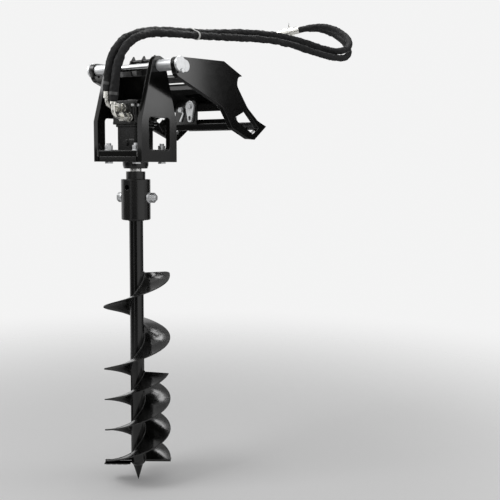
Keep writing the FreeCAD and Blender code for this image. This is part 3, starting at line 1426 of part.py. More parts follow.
def blade_bar(turn, z):
    """The flat cutting bar under a flight's lower end."""
    inner = TUBE_RADIUS + WELD_GAP
    bar = block(vec(inner, 0, z - BLADE_THICK), vec(FLIGHT_RADIUS, BLADE_WIDTH, z))
    return turned(bar.cut(rod(inner, 40, vec(0, 0, z - 20), Z_AXIS)), turn)


def cutting_tooth(turn, z, index):
    """A wedge tooth on a blade bar's leading edge."""
    span = (FLIGHT_RADIUS - TUBE_RADIUS - TOOTH_INSET) / TOOTH_COUNT
    x = TUBE_RADIUS + TOOTH_INSET + span * index
    top = z - BLADE_THICK
    corners = [
        vec(x, BLADE_WIDTH * 0.8, top),
        vec(x, -TOOTH_NOSE, top - TOOTH_HEIGHT * 0.4),
        vec(x, -TOOTH_NOSE, top - TOOTH_HEIGHT * 0.8),
        vec(x, BLADE_WIDTH * 0.5, top - TOOTH_HEIGHT),
    ]
    wedge = Part.Face(Part.makePolygon(corners + [corners[0]])).extrude(vec(TOOTH_WIDTH, 0, 0))
    return turned(wedge, turn)


def pilot_bit():
    """The centre point: a shoulder that curves in to a straight spike."""
    top = vec(0, 0, FLIGHT_BOTTOM)
    neck = vec(TUBE_RADIUS, 0, FLIGHT_BOTTOM)
    under_bars = vec(TUBE_RADIUS, 0, FLIGHT_BOTTOM - BLADE_THICK)
    shoulder = vec(PILOT_RADIUS, 0, under_bars.z)
    waist = vec(PILOT_WAIST_RADIUS, 0, FLIGHT_BOTTOM - PILOT_WAIST_DROP)
    hollow = (shoulder + waist) * 0.5 + vec(-PILOT_HOLLOW, 0, -PILOT_HOLLOW)
    point = vec(PILOT_TIP_RADIUS, 0, FLIGHT_BOTTOM - PILOT_LENGTH)
    tip = vec(0, 0, point.z)
    profile = [
        Part.LineSegment(top, neck).toShape(),
        Part.LineSegment(neck, under_bars).toShape(),
        Part.LineSegment(under_bars, shoulder).toShape(),
        Part.Arc(shoulder, hollow, waist).toShape(),
        Part.LineSegment(waist, point).toShape(),
        Part.LineSegment(point, tip).toShape(),
        Part.LineSegment(tip, top).toShape(),
    ]
    return Part.Face(Part.Wire(profile)).revolve(ORIGIN, Z_AXIS, 360)


def build_auger():
    export("output_shaft", output_shaft())
    export("planet_pins", *planet_pins())
    export("auger_hub", auger_hub())
    export("hub_bolt", hub_bolt(), hub_nut(), *hub_washers())
    export("auger_tube", auger_tube())
    sections = main_flight()
    third = len(sections) // 3
    export("flight_upper", *sections[:third])
    export("flight_middle", *sections[third:2 * third])
    export("flight_lower", *sections[2 * third:])
    export("flight_second", *second_flight())
    bars = [blade_bar(turn, FLIGHT_BOTTOM) for turn in (FLIGHT_END_TURN, FLIGHT_END_TURN + 180)]
    export("blade_bars", *bars)
    teeth = [cutting_tooth(FLIGHT_END_TURN + 180, FLIGHT_BOTTOM, i) for i in range(TOOTH_COUNT)]
    export("cutting_teeth", *teeth)
    export("pilot_bit", pilot_bit())


def main():
    os.makedirs("parts", exist_ok=True)
    build_hitch()
    build_pin()
    build_latch()
    build_cradle()
    build_drive()
    build_fittings()
    build_hoses()
    build_auger()


main()
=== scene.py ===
"""Looks of a hydraulic earth auger on its hook-on hitch.

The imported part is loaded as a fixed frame. Plates, castings and hardware get broken edges, welds and
painted or plated finishes, and the two hoses get woven sleeves. Lengths are in metres, with X along the
pivot pin, +Y towards the carrier and +Z up.
"""

import json
import logging
import math
from dataclasses import dataclass, field
from enum import Enum

import bpy
from mathutils import Matrix, Vector, noise

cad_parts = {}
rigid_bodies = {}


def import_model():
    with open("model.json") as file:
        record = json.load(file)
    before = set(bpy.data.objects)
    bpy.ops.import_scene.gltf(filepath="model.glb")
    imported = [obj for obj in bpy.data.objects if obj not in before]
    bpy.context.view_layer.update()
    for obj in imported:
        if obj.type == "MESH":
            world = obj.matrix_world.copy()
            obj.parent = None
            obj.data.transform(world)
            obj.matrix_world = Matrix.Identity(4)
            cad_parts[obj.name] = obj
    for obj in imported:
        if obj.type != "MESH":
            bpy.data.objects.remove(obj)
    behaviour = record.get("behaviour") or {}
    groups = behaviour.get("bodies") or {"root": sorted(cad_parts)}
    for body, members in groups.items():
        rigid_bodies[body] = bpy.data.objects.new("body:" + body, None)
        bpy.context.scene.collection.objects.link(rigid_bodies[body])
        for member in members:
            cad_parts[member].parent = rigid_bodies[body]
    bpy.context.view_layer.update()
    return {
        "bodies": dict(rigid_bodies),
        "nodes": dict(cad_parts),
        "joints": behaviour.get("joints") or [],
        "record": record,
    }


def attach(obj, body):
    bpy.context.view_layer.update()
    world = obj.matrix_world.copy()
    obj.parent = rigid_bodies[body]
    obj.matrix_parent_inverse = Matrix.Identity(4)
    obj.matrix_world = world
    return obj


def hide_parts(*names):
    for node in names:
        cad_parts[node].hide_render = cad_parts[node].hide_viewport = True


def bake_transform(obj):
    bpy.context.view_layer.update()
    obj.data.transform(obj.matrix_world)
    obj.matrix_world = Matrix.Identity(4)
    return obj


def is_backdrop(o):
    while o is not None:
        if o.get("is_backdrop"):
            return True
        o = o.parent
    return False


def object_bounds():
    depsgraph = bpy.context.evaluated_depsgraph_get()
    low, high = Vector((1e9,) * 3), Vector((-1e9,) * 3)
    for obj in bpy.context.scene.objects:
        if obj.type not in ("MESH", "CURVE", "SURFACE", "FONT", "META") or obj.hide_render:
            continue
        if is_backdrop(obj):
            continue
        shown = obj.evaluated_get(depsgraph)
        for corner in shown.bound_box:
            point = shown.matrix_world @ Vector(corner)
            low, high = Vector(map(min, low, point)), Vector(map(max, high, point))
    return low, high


LOG = logging.getLogger("auger")

# Y of the upright axis that the drive and the screw share
AXIS_Y = -0.351

# Turns in degrees: sharper ones are rounded as edges, and flatter ones are melted into one face
SHARP_TURN = 32.0
FLAT_TURN = 0.4
BLADE_FLAT_TURN = 0.05
MERGE_GAP = 1e-5
NORMAL_WEIGHT = 60

# How far a weld's centre line stands off the faces that it joins, and how uneven its drops are
WELD_STAND = 0.0008
WELD_ROUGHNESS = 0.12
DROP_SIDES = 8
DROP_RINGS = 6

DUST_COLOR = (0.20, 0.19, 0.17)
# Sleeve colours; the darker one also stands for painted shade between the threads
SLEEVE_DARK = (0.004, 0.004, 0.0042)
SLEEVE_LIGHT = (0.030, 0.030, 0.031)
SHAFT_PAINT_DARK = (0.006, 0.006, 0.006)
SHAFT_PAINT_LIGHT = (0.010, 0.010, 0.0095)
SHAFT_STEEL = (0.62, 0.62, 0.61)

# The shaft is bare steel above this height and painted below it
BARE_FROM = -0.2662
BARE_FULL = -0.2652

Point = tuple[float, float, float]
Color = tuple[float, float, float]
Socket = bpy.types.NodeSocket
Value = Socket | float
Material = bpy.types.Material
Piece = bpy.types.Object


class Slot(Enum):
    """The record's material slots."""

    FRAME = "frame_paint"
    DRIVE = "drive_paint"
    ZINC = "zinc"
    CHROME = "chrome"
    BRONZE = "bronze"
    GROUND = "ground_steel"
    SHAFT = "shaft_steel"
    SEAL = "seal_rubber"
    FITTING = "plated_fitting"
    SLEEVE = "hose_sleeve"
    TIE = "tie_plastic"
    CLAMP = "clamp_band"
    AUGER = "auger_paint"
    TOOTH = "tooth_steel"


class Body(Enum):
    """The rigid bodies that new pieces ride on."""

    HITCH = "hitch"
    CRADLE = "cradle"
    AUGER = "auger"


# Selection and mesh helpers


def deselect_all() -> None:
    """Leave edit mode and deselect every object."""
    if bpy.context.object and bpy.context.object.mode != "OBJECT":
        bpy.ops.object.mode_set(mode="OBJECT")
    bpy.ops.object.select_all(action="DESELECT")


def select_only(piece: Piece) -> None:
    """Make a piece the only selected and the active object.

    Args:
        piece: The object.
    """
    deselect_all()
    piece.select_set(True)
    bpy.context.view_layer.objects.active = piece


def apply_modifiers(piece: Piece) -> None:
    """Apply every modifier of a piece, in order.

    Args:
        piece: The mesh object.
    """
    select_only(piece)
    for modifier in list(piece.modifiers):
        bpy.ops.object.modifier_apply(modifier=modifier.name)


def settle(piece: Piece) -> None:
    """Move a piece's place, turn and scale into its mesh."""
    select_only(piece)
    bpy.ops.object.transform_apply(location=True, rotation=True, scale=True)


def put_in_scene(name: str, data: bpy.types.ID) -> Piece:
    """Add an object to the scene for a mesh, curve, light or camera.

    Args:
        name: The object's name.
        data: What it shows.

    Returns:
        The object.
    """
    piece = bpy.data.objects.new(name, data)
    bpy.context.scene.collection.objects.link(piece)
    return piece


def turn_to(direction: Vector) -> Matrix:
    """Return the turn that takes +Z to a direction, as a 4 by 4 matrix."""
    return direction.to_track_quat("Z", "Y").to_matrix().to_4x4()


def face_from(place: Point, aim: Point) -> Matrix:
    """Return the placing of a lamp or card that stands at a place and faces a point."""
    direction = Vector(aim) - Vector(place)
    return Matrix.Translation(place) @ direction.to_track_quat("-Z", "Y").to_matrix().to_4x4()


def break_edges(piece: Piece, width: float, segments: int) -> None:
    """Round a mesh's sharp edges and leave its flat faces flat.

    Args:
        piece: The mesh object.
        width: Width of each rounded edge.
        segments: Steps across each rounded edge.
    """
    bevel = piece.modifiers.new("edges", "BEVEL")
    bevel.limit_method = "ANGLE"
    bevel.angle_limit = math.radians(SHARP_TURN)
    bevel.width = width
    bevel.segments = segments
    bevel.use_clamp_overlap = False
    weights = piece.modifiers.new("normals", "WEIGHTED_NORMAL")
    weights.weight = NORMAL_WEIGHT
    apply_modifiers(piece)


def merge_close(piece: Piece, flat_turn: float) -> None:
    """Join a mesh's loose triangles and melt the edges inside its flat faces.

    Args:
        piece: The mesh object.
        flat_turn: Largest turn, in degrees, over which faces are joined.
    """
    select_only(piece)
    bpy.ops.object.mode_set(mode="EDIT")
    bpy.ops.mesh.select_all(action="SELECT")
    bpy.ops.mesh.remove_doubles(threshold=MERGE_GAP)
    bpy.ops.mesh.dissolve_limited(angle_limit=math.radians(flat_turn))
    bpy.ops.object.mode_set(mode="OBJECT")
    bpy.ops.mesh.customdata_custom_splitnormals_clear()
    bpy.ops.object.shade_smooth()


# Materials


def set_inputs(node: bpy.types.Node, **values: object) -> None:
    """Set a node's inputs by name, with _ for each space."""
    for name, value in values.items():
        node.inputs[name.replace("_", " ")].default_value = value


class NodeDesk:
    """Adds and joins nodes in one node tree."""

    def __init__(self, tree: bpy.types.NodeTree) -> None:
        """Take the tree to work in."""
        self.tree = tree

    def add(self, kind: str, **values: object) -> bpy.types.Node:
        """Add a node and set its properties or, by socket name, its inputs.

        Args:
            kind: The node's type name.
            **values: Property values; a name that isn't a property is an input socket.

        Returns:
            The new node.
        """
        node = self.tree.nodes.new(kind)
        for name, value in values.items():
            if hasattr(node, name):
                setattr(node, name, value)
            else:
                set_inputs(node, **{name: value})
        return node

    def link(self, source: Value | tuple, target: Socket) -> None:
        """Join an output socket to an input, or set the input to a number or colour.

        Args:
            source: An output socket, a number or a colour.
            target: The input socket.
        """
        if isinstance(source, Socket):
            self.tree.links.new(source, target)
        else:
            target.default_value = source

    def math(self, operation: str, first: Value, second: Value = 0.0, clamp: bool = False) -> Socket:
        """Add a Math node.

        Args:
            operation: The node's operation.
            first: A socket or a number.
            second: A socket or a number.
            clamp: Whether the result is kept from 0 to 1.

        Returns:
            The node's output socket.
        """
        node = self.add("ShaderNodeMath", operation=operation, use_clamp=clamp)
        self.link(first, node.inputs[0])
        self.link(second, node.inputs[1])
        return node.outputs[0]

    def mean(self, first: Value, second: Value) -> Socket:
        """Return the mean of two values."""
        return self.math("MULTIPLY", self.math("ADD", first, second), 0.5)

    def noise(self, vector: Socket, scale: Value, detail: float, roughness: float = 0.5) -> Socket:
        """Add a noise texture.

        Args:
            vector: Where the pattern is read.
            scale: How fine it is, as a socket or a number.
            detail: How many finer layers it has.
            roughness: How strong they are.

        Returns:
            Its value, from 0 to 1.
        """
        node = self.add("ShaderNodeTexNoise", Detail=detail, Roughness=roughness)
        self.link(vector, node.inputs["Vector"])
        self.link(scale, node.inputs["Scale"])
        return node.outputs["Fac"]

    def remap(self, value: Socket, **limits: object) -> Socket:
        """Add a Map Range node on a value.

        Args:
            value: The value to map.
            **limits: The node's limits and other settings, by name.

        Returns:
            The mapped value.
        """
        node = self.add("ShaderNodeMapRange", **limits)
        self.link(value, node.inputs["Value"])
        return node.outputs["Result"]

    def height_of(self, vector: Socket) -> Socket:
        """Read the Z of a vector.

        Args:
            vector: The vector.

        Returns:
            Its third number.
        """
        node = self.add("ShaderNodeSeparateXYZ")
        self.link(vector, node.inputs[0])
        return node.outputs["Z"]

    def blend_colors(self, factor: Socket, low: Socket | Color, high: Socket | Color) -> Socket:
        """Mix two colours.

        Args:
            factor: How much of the second is taken, from 0 to 1.
            low: The first colour, as a socket or three numbers.
            high: The second.

        Returns:
            The mixed colour.
        """
        node = self.add("ShaderNodeMix", data_type="RGBA")
        self.link(factor, node.inputs[0])
        for index, value in ((6, low), (7, high)):
            self.link(value if isinstance(value, Socket) else (*value, 1.0), node.inputs[index])
        return node.outputs[2]

    def bump(self, height: Socket, strength: float, distance: float, normal: Socket | None = None) -> Socket:
        """Add a Bump node.

        Args:
            height: The height to show.
            strength: How strongly it shows.
            distance: How deep it is, in metres.
            normal: The normal that it starts from, if not the surface's own.

        Returns:
            The bumped normal.
        """
        node = self.add("ShaderNodeBump", Strength=strength, Distance=distance)
        self.link(height, node.inputs["Height"])
        if normal:
            self.link(normal, node.inputs["Normal"])
        return node.outputs["Normal"]


class SharedGroup:
    """A shader node group that is fed by a vector and named numbers."""

    def __init__(self, name: str, inputs: dict[str, float], outputs: list[str]) -> None:
        """Start the group.

        Args:
            name: The group's name.
            inputs: Each number's name and its default.
            outputs: The names of the outputs, all numbers.
        """
        self.tree = bpy.data.node_groups.new(name, "ShaderNodeTree")
        self.tree.interface.new_socket("Vector", in_out="INPUT", socket_type="NodeSocketVector")
        for label, value in inputs.items():
            socket = self.tree.interface.new_socket(label, in_out="INPUT", socket_type="NodeSocketFloat")
            socket.default_value = value
        for label in outputs:
            self.tree.interface.new_socket(label, in_out="OUTPUT", socket_type="NodeSocketFloat")
        self.desk = NodeDesk(self.tree)
        self.entry = self.desk.add("NodeGroupInput")
        self.exit = self.desk.add("NodeGroupOutput")

    def read(self, label: str) -> Socket:
        """Return an input of the group, by name."""
        return self.entry.outputs[label]

    def give(self, label: str, value: Socket) -> None:
        """Send a value to an output of the group, by name."""
        self.desk.link(value, self.exit.inputs[label])

    def place(self, desk: NodeDesk, vector: Socket, **values: float) -> bpy.types.Node:
        """Add the group to a material, with its own numbers.

        Args:
            desk: The material's desk.
            vector: What the group reads its pattern from.
            **values: The group's inputs, with _ for each space.

        Returns:
            The group's node.
        """
        node = desk.add("ShaderNodeGroup", node_tree=self.tree)
        desk.link(vector, node.inputs["Vector"])
        set_inputs(node, **values)
        return node


def build_grain_group() -> SharedGroup:
    """Build the group for uneven film and fine surface grain.

    Returns:
        The group, with Tone, Gloss and Height, each 0 to 1.
    """
    inputs = {"Grain Scale": 400.0, "Cloud Scale": 9.0}
    group = SharedGroup("surface grain", inputs, ["Tone", "Gloss", "Height"])
    desk = group.desk
    streaks_to_clouds = 5.3
    cloud = desk.noise(group.read("Vector"), group.read("Cloud Scale"), 4.0, 0.6)
    streak_scale = desk.math("MULTIPLY", group.read("Cloud Scale"), streaks_to_clouds)
    streak = desk.noise(group.read("Vector"), streak_scale, 6.0, 0.7)
    group.give("Tone", cloud)
    group.give("Gloss", desk.mean(cloud, streak))
    group.give("Height", desk.noise(group.read("Vector"), group.read("Grain Scale"), 2.0))
    return group


def build_wear_and_highlight_group() -> SharedGroup:
    """Build the group that marks edges, broken up by noise: partly rubbed paint, partly a painted edge
    highlight.

    Returns:
        The group, with a Mask from 0 to 1.
    """
    # The mask turns edges lighter: partly rubbed paint, partly a painted edge highlight
    group = SharedGroup("edge wear", {"Radius": 0.002, "Break Up": 60.0, "Amount": 0.5}, ["Mask"])
    desk = group.desk
    still_flat = 0.985
    edge_gain = 6.0
    rounded = desk.add("ShaderNodeBevel", samples=4)
    desk.link(group.read("Radius"), rounded.inputs["Radius"])
    facing = desk.add("ShaderNodeVectorMath", operation="DOT_PRODUCT")
    desk.link(rounded.outputs["Normal"], facing.inputs[0])
    desk.link(desk.add("ShaderNodeNewGeometry").outputs["Normal"], facing.inputs[1])
    turned = desk.math("SUBTRACT", still_flat, facing.outputs["Value"])
    edge = desk.math("MULTIPLY", turned, edge_gain, clamp=True)
    chips = desk.noise(group.read("Vector"), group.read("Break Up"), 5.0, 0.65)
    worn = desk.math("MULTIPLY", edge, desk.remap(chips, From_Min=0.45, From_Max=0.62))
    group.give("Mask", desk.math("MULTIPLY", worn, group.read("Amount"), clamp=True))
    return group


def build_dust_group() -> SharedGroup:
    """Build the group that marks the dust that lies on upward faces.

    Returns:
        The group, with a Mask from 0 to 1.
    """
    group = SharedGroup("dust film", {"Patch Scale": 14.0, "Amount": 0.3}, ["Mask"])
    desk = group.desk
    rise = desk.height_of(desk.add("ShaderNodeNewGeometry").outputs["Normal"])
    patches = desk.noise(group.read("Vector"), group.read("Patch Scale"), 6.0, 0.6)
    film = desk.math("MULTIPLY", desk.remap(rise, From_Min=0.2, From_Max=1.0), patches)
    group.give("Mask", desk.math("MULTIPLY", film, group.read("Amount"), clamp=True))
    return group


def build_weave_group() -> SharedGroup:
    """Build the group for a plain weave that follows a UV map.

    Returns:
        The group, with Height and Shade, each 0 to 1. Shade is half random fuzz and half painted shade,
        darker where the weave sinks between threads.
    """
    group = SharedGroup("plain weave", {"Rows": 900.0, "Columns": 40.0}, ["Height", "Shade"])
    desk = group.desk
    fuzz_scale = 30.0
    parts = desk.add("ShaderNodeSeparateXYZ")
    desk.link(group.read("Vector"), parts.inputs[0])
    along = desk.math("MULTIPLY", parts.outputs["X"], group.read("Rows"))
    around = desk.math("MULTIPLY", parts.outputs["Y"], group.read("Columns"))
    warp = desk.math("ABSOLUTE", desk.math("SINE", desk.math("MULTIPLY", along, math.pi)))
    weft = desk.math("ABSOLUTE", desk.math("SINE", desk.math("MULTIPLY", around, math.pi)))
    cell = desk.math("ADD", desk.math("FLOOR", along), desk.math("FLOOR", around))
    over = desk.math("PINGPONG", cell, 1.0)
    under = desk.math("SUBTRACT", 1.0, over)
    height = desk.math("ADD", desk.math("MULTIPLY", warp, over), desk.math("MULTIPLY", weft, under))
    group.give("Height", height)
    # Half random fuzz, half painted shade that is darker where the weave sinks between threads
    group.give("Shade", desk.mean(height, desk.noise(group.read("Vector"), fuzz_scale, 5.0)))
    return group


def new_material(name: str) -> tuple[Material, NodeDesk, bpy.types.Node]:
    """Start a material.

    Args:
        name: Its name.

    Returns:
        The material, its desk and its shader node.
    """
    material = bpy.data.materials.new(name)
    material.use_nodes = True
    return material, NodeDesk(material.node_tree), material.node_tree.nodes["Principled BSDF"]


@dataclass(frozen=True)
class Finish:
    """One surface finish: its colour, gloss, unevenness, grain, rubbed edges that also carry a painted edge
    highlight, and dust.
    """

    slot: Slot
    color: Color
    roughness: float
    metallic: float = 0.0
    uneven: float = 0.08
    tone: float = 0.25
    cloud: float = 9.0
    grain: float = 400.0
    grain_depth: float = 0.03
    # Edges turn lighter grey: partly rubbed paint, partly a painted edge highlight
    wear_and_painted_highlight: float = 0.0
    wear_and_painted_highlight_color: Color = (0.25, 0.25, 0.24)
    dust: float = 0.0

    def shade(self, share: float) -> Color:
        """Return the colour made lighter or, below 0, darker by a share of itself."""
        return tuple(min(1.0, channel * (1 + share)) for channel in self.color)


FINISHES = [
    Finish(
        Slot.FRAME, (0.0045, 0.0045, 0.0043), roughness=0.13, uneven=0.05, grain=520.0, grain_depth=0.015,
        wear_and_painted_highlight=0.25, dust=0.02,
    ),
    Finish(
        Slot.DRIVE, (0.0085, 0.0085, 0.0082), roughness=0.27, grain=260.0, grain_depth=0.08,
        wear_and_painted_highlight=0.3, dust=0.04,
    ),
    Finish(
        Slot.ZINC, (0.74, 0.75, 0.76), roughness=0.36, metallic=0.7, uneven=0.14, tone=0.24, cloud=85.0,
        grain_depth=0.05,
    ),
    Finish(
        Slot.CHROME, (0.86, 0.87, 0.88), roughness=0.09, metallic=1.0, uneven=0.06, tone=0.06, cloud=12.0,
        grain_depth=0.01,
    ),
    Finish(Slot.BRONZE, (0.52, 0.35, 0.15), roughness=0.35, metallic=1.0, cloud=30.0),
    Finish(Slot.GROUND, (0.48, 0.48, 0.47), roughness=0.28, metallic=1.0, uneven=0.12, cloud=30.0),
    Finish(Slot.SEAL, (0.02, 0.02, 0.02), roughness=0.75, grain_depth=0.05),
    Finish(
        Slot.FITTING, (0.82, 0.81, 0.76), roughness=0.22, metallic=0.9, uneven=0.10, tone=0.07, cloud=40.0,
        grain_depth=0.02,
    ),
    Finish(Slot.TIE, (0.62, 0.62, 0.60), roughness=0.42, tone=0.08, grain_depth=0.02),
    Finish(Slot.CLAMP, (0.10, 0.10, 0.10), roughness=0.45, metallic=1.0, uneven=0.15, cloud=60.0),
    Finish(
        Slot.AUGER, (0.0050, 0.0050, 0.0048), roughness=0.17, uneven=0.10, grain=420.0, grain_depth=0.012,
        wear_and_painted_highlight=0.5,
    ),
    Finish(
        Slot.TOOTH, (0.36, 0.36, 0.35), roughness=0.42, metallic=0.7, uneven=0.16, cloud=50.0,
        grain_depth=0.10, wear_and_painted_highlight=0.6,
    ),
]


class FinishShop:
    """Builds the shared node groups and one material for each finish."""

    smoothest: float = 0.03

    def __init__(self) -> None:
        """Build the groups and the materials."""
        self.grain = build_grain_group()
        self.wear_and_painted_highlight = build_wear_and_highlight_group()
        self.dust = build_dust_group()
        self.weave = build_weave_group()
        self.materials = {finish.slot: self.plain(finish) for finish in FINISHES}
        self.materials[Slot.SLEEVE] = self.sleeve()
        self.materials[Slot.SHAFT] = self.shaft()

    def plain(self, finish: Finish) -> Material:
        """Build the material of a paint, plating or bare metal.

        Args:
            finish: What it looks like.

        Returns:
            The material.
        """
        material, desk, shader = new_material(finish.slot.value)
        place = desk.add("ShaderNodeTexCoord").outputs["Object"]
        grain = self.grain.place(desk, place, Grain_Scale=finish.grain, Cloud_Scale=finish.cloud)
        darker = finish.shade(-finish.tone)
        color = desk.blend_colors(grain.outputs["Tone"], darker, finish.shade(finish.tone))
        if finish.dust:
            dust = self.dust.place(desk, place, Amount=finish.dust)
            color = desk.blend_colors(dust.outputs["Mask"], color, DUST_COLOR)
        # Lighter grey edges: partly rubbed paint, partly a painted edge highlight
        if finish.wear_and_painted_highlight:
            wear_and_painted_highlight = self.wear_and_painted_highlight.place(desk, place, Amount=finish.wear_and_painted_highlight)
            color = desk.blend_colors(wear_and_painted_highlight.outputs["Mask"], color, finish.wear_and_painted_highlight_color)
        desk.link(color, shader.inputs["Base Color"])
        low = max(self.smoothest, finish.roughness - finish.uneven / 2)
        high = finish.roughness + finish.uneven / 2
        rough = desk.remap(grain.outputs["Gloss"], From_Min=0.3, From_Max=0.7, To_Min=low, To_Max=high)
        desk.link(rough, shader.inputs["Roughness"])
        set_inputs(shader, Metallic=finish.metallic)
        desk.link(desk.bump(grain.outputs["Height"], finish.grain_depth, 0.001), shader.inputs["Normal"])
        return material

    def sleeve(self) -> Material:
        """Build the woven nylon sleeve, which follows the hose by its UV map.

        Returns:
            The material.
        """
        material, desk, shader = new_material(Slot.SLEEVE.value)
        around = desk.add("ShaderNodeUVMap", uv_map="sleeve").outputs["UV"]
        weave = self.weave.place(desk, around, Rows=12.0, Columns=44.0)
        place = desk.add("ShaderNodeTexCoord").outputs["Object"]
        grain = self.grain.place(desk, place, Grain_Scale=700.0, Cloud_Scale=55.0)
        # The sleeve's colour comes from random tone and from painted shade between the threads
        mixed = desk.mean(weave.outputs["Shade"], grain.outputs["Tone"])
        desk.link(desk.blend_colors(mixed, SLEEVE_DARK, SLEEVE_LIGHT), shader.inputs["Base Color"])
        rough = desk.remap(weave.outputs["Height"], To_Min=0.62, To_Max=0.82)
        desk.link(rough, shader.inputs["Roughness"])
        creases = desk.bump(grain.outputs["Tone"], 0.8, 0.004)
        desk.link(desk.bump(weave.outputs["Height"], 0.55, 0.0006, creases), shader.inputs["Normal"])
        set_inputs(shader, Specular_IOR_Level=0.22)
        return material

    def shaft(self) -> Material:
        """Build the output shaft's finish: bare turned steel at its neck, black paint below it.

        Returns:
            The material.
        """
        material, desk, shader = new_material(Slot.SHAFT.value)
        place = desk.add("ShaderNodeTexCoord").outputs["Object"]
        grain = self.grain.place(desk, place, Grain_Scale=300.0, Cloud_Scale=20.0)
        bare = desk.remap(desk.height_of(place), From_Min=BARE_FROM, From_Max=BARE_FULL)
        paint = desk.blend_colors(grain.outputs["Tone"], SHAFT_PAINT_DARK, SHAFT_PAINT_LIGHT)
        desk.link(desk.blend_colors(bare, paint, SHAFT_STEEL), shader.inputs["Base Color"])
        desk.link(bare, shader.inputs["Metallic"])
        desk.link(desk.remap(grain.outputs["Gloss"], To_Min=0.26, To_Max=0.42), shader.inputs["Roughness"])
        return material


# The workshop that every sub-assembly uses


class Workshop:
    """Holds the loaded frame and the finishes, and finishes pieces of the object."""

    def __init__(self, frame: dict) -> None:
        """Take the loaded frame and build the finishes.
        """
        self.nodes = frame["nodes"]
        self.shop = FinishShop()
        self.slots = {row["node"]: Slot(row["material_slot"]) for row in frame["record"]["subparts"]}
        bodies = frame["record"]["behaviour"]["bodies"]
        self.bodies = {node: body for body, members in bodies.items() for node in members}

    def coat(self, piece: Piece, slot: Slot) -> None:
        """Give a piece one finish all over."""
        piece.data.materials.clear()
        piece.data.materials.append(self.shop.materials[slot])

    def coat_node(self, node: str) -> None:
        """Give a CAD node the finish of its own slot."""
        for place in self.nodes[node].material_slots:
            place.material = self.shop.materials[self.slots[node]]

    def coat_shown_nodes(self) -> None:
        """Give every CAD node that still shows its finish."""
        for node, shown in self.nodes.items():
            if not shown.hide_render:
                self.coat_node(node)
                LOG.info("node %s keeps its own shape", node)

    def hand_over(self, piece: Piece, body: str, slot: Slot, *replaced: str) -> Piece:
        """Settle a finished piece on its body, with its slot and what it replaces.

        Args:
            piece: The finished object.
            body: The body it rides on.
            slot: Its finish.
            *replaced: The CAD nodes that it stands for.

        Returns:
            The piece.
        """
        self.coat(piece, slot)
        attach(piece, body)
        if replaced:
            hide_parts(*replaced)
        LOG.info("piece %s on %s, %d faces", piece.name, body, len(piece.data.polygons))
        return piece

    def copy_node(self, node: str) -> Piece:
        """Return a new object with a copy of a CAD node's mesh."""
        return put_in_scene(node + "_finished", self.nodes[node].data.copy())

    def soften(self, node: str, width: float, segments: int = 2) -> Piece:
        """Replace a CAD node by a copy with rounded edges.

        Args:
            node: The node's name.
            width: Width of each rounded edge.
            segments: Steps across each rounded edge.

        Returns:
            The new piece.
        """
        copy = self.copy_node(node)
        merge_close(copy, FLAT_TURN)
        break_edges(copy, width, segments)
        return self.hand_over(copy, self.bodies[node], self.slots[node], node)

    def soften_all(self, edges: dict[str, float], segments: int = 2) -> None:
        """Replace CAD nodes by copies with rounded edges.

        Args:
            edges: Each node's name and the width of its rounded edges.
            segments: Steps across each rounded edge.
        """
        for node, width in edges.items():
            self.soften(node, width, segments)


# Welds


def roughen(piece: Piece, amount: float, seed: int) -> None:
    """Shift a mesh's points a little at random, the same way each time.

    Args:
        piece: The mesh object.
        amount: How far a point may move.
        seed: Picks the random shifts.
    """
    select_only(piece)
    bpy.ops.object.mode_set(mode="EDIT")
    bpy.ops.mesh.select_all(action="SELECT")
    bpy.ops.transform.vertex_random(offset=amount, seed=seed)
    bpy.ops.object.mode_set(mode="OBJECT")


def weld_drop(name: str, place: Vector, size: float) -> Piece:
    """Add one round drop of weld.

    Args:
        name: The piece's name.
        place: Its centre.
        size: Its radius.

    Returns:
        The drop.
    """
    deselect_all()
    bpy.ops.mesh.primitive_uv_sphere_add(
        segments=DROP_SIDES, ring_count=DROP_RINGS, radius=size, location=place
    )
    drop = bpy.context.object
    drop.name = name
    return drop


def weld_run(name: str, start: Vector, end: Vector, size: float) -> Piece:
    """Lay a straight weld of overlapping drops.

    Args:
        name: The piece's name.
        start: The first drop's centre.
        end: The last drop's centre.
        size: Radius of the bead.

    Returns:
        The bead as one mesh.
    """
    overlap = 0.75
    flatness = 0.7
    run = end - start
    count = max(2, math.ceil(run.length / (overlap * size)) + 1)
    bead = weld_drop(name, Vector(), size)
    bead.scale = (1.0, 1.0, flatness)
    settle(bead)
    row = bead.modifiers.new("run", "ARRAY")
    row.count = count
    row.use_relative_offset = False
    row.use_constant_offset = True
    row.constant_offset_displace = (0.0, 0.0, run.length / (count - 1))
    apply_modifiers(bead)
    roughen(bead, size * WELD_ROUGHNESS, count)
    bead.matrix_world = Matrix.Translation(start) @ turn_to(run)
    settle(bead)
    bpy.ops.object.shade_smooth()
    return bead


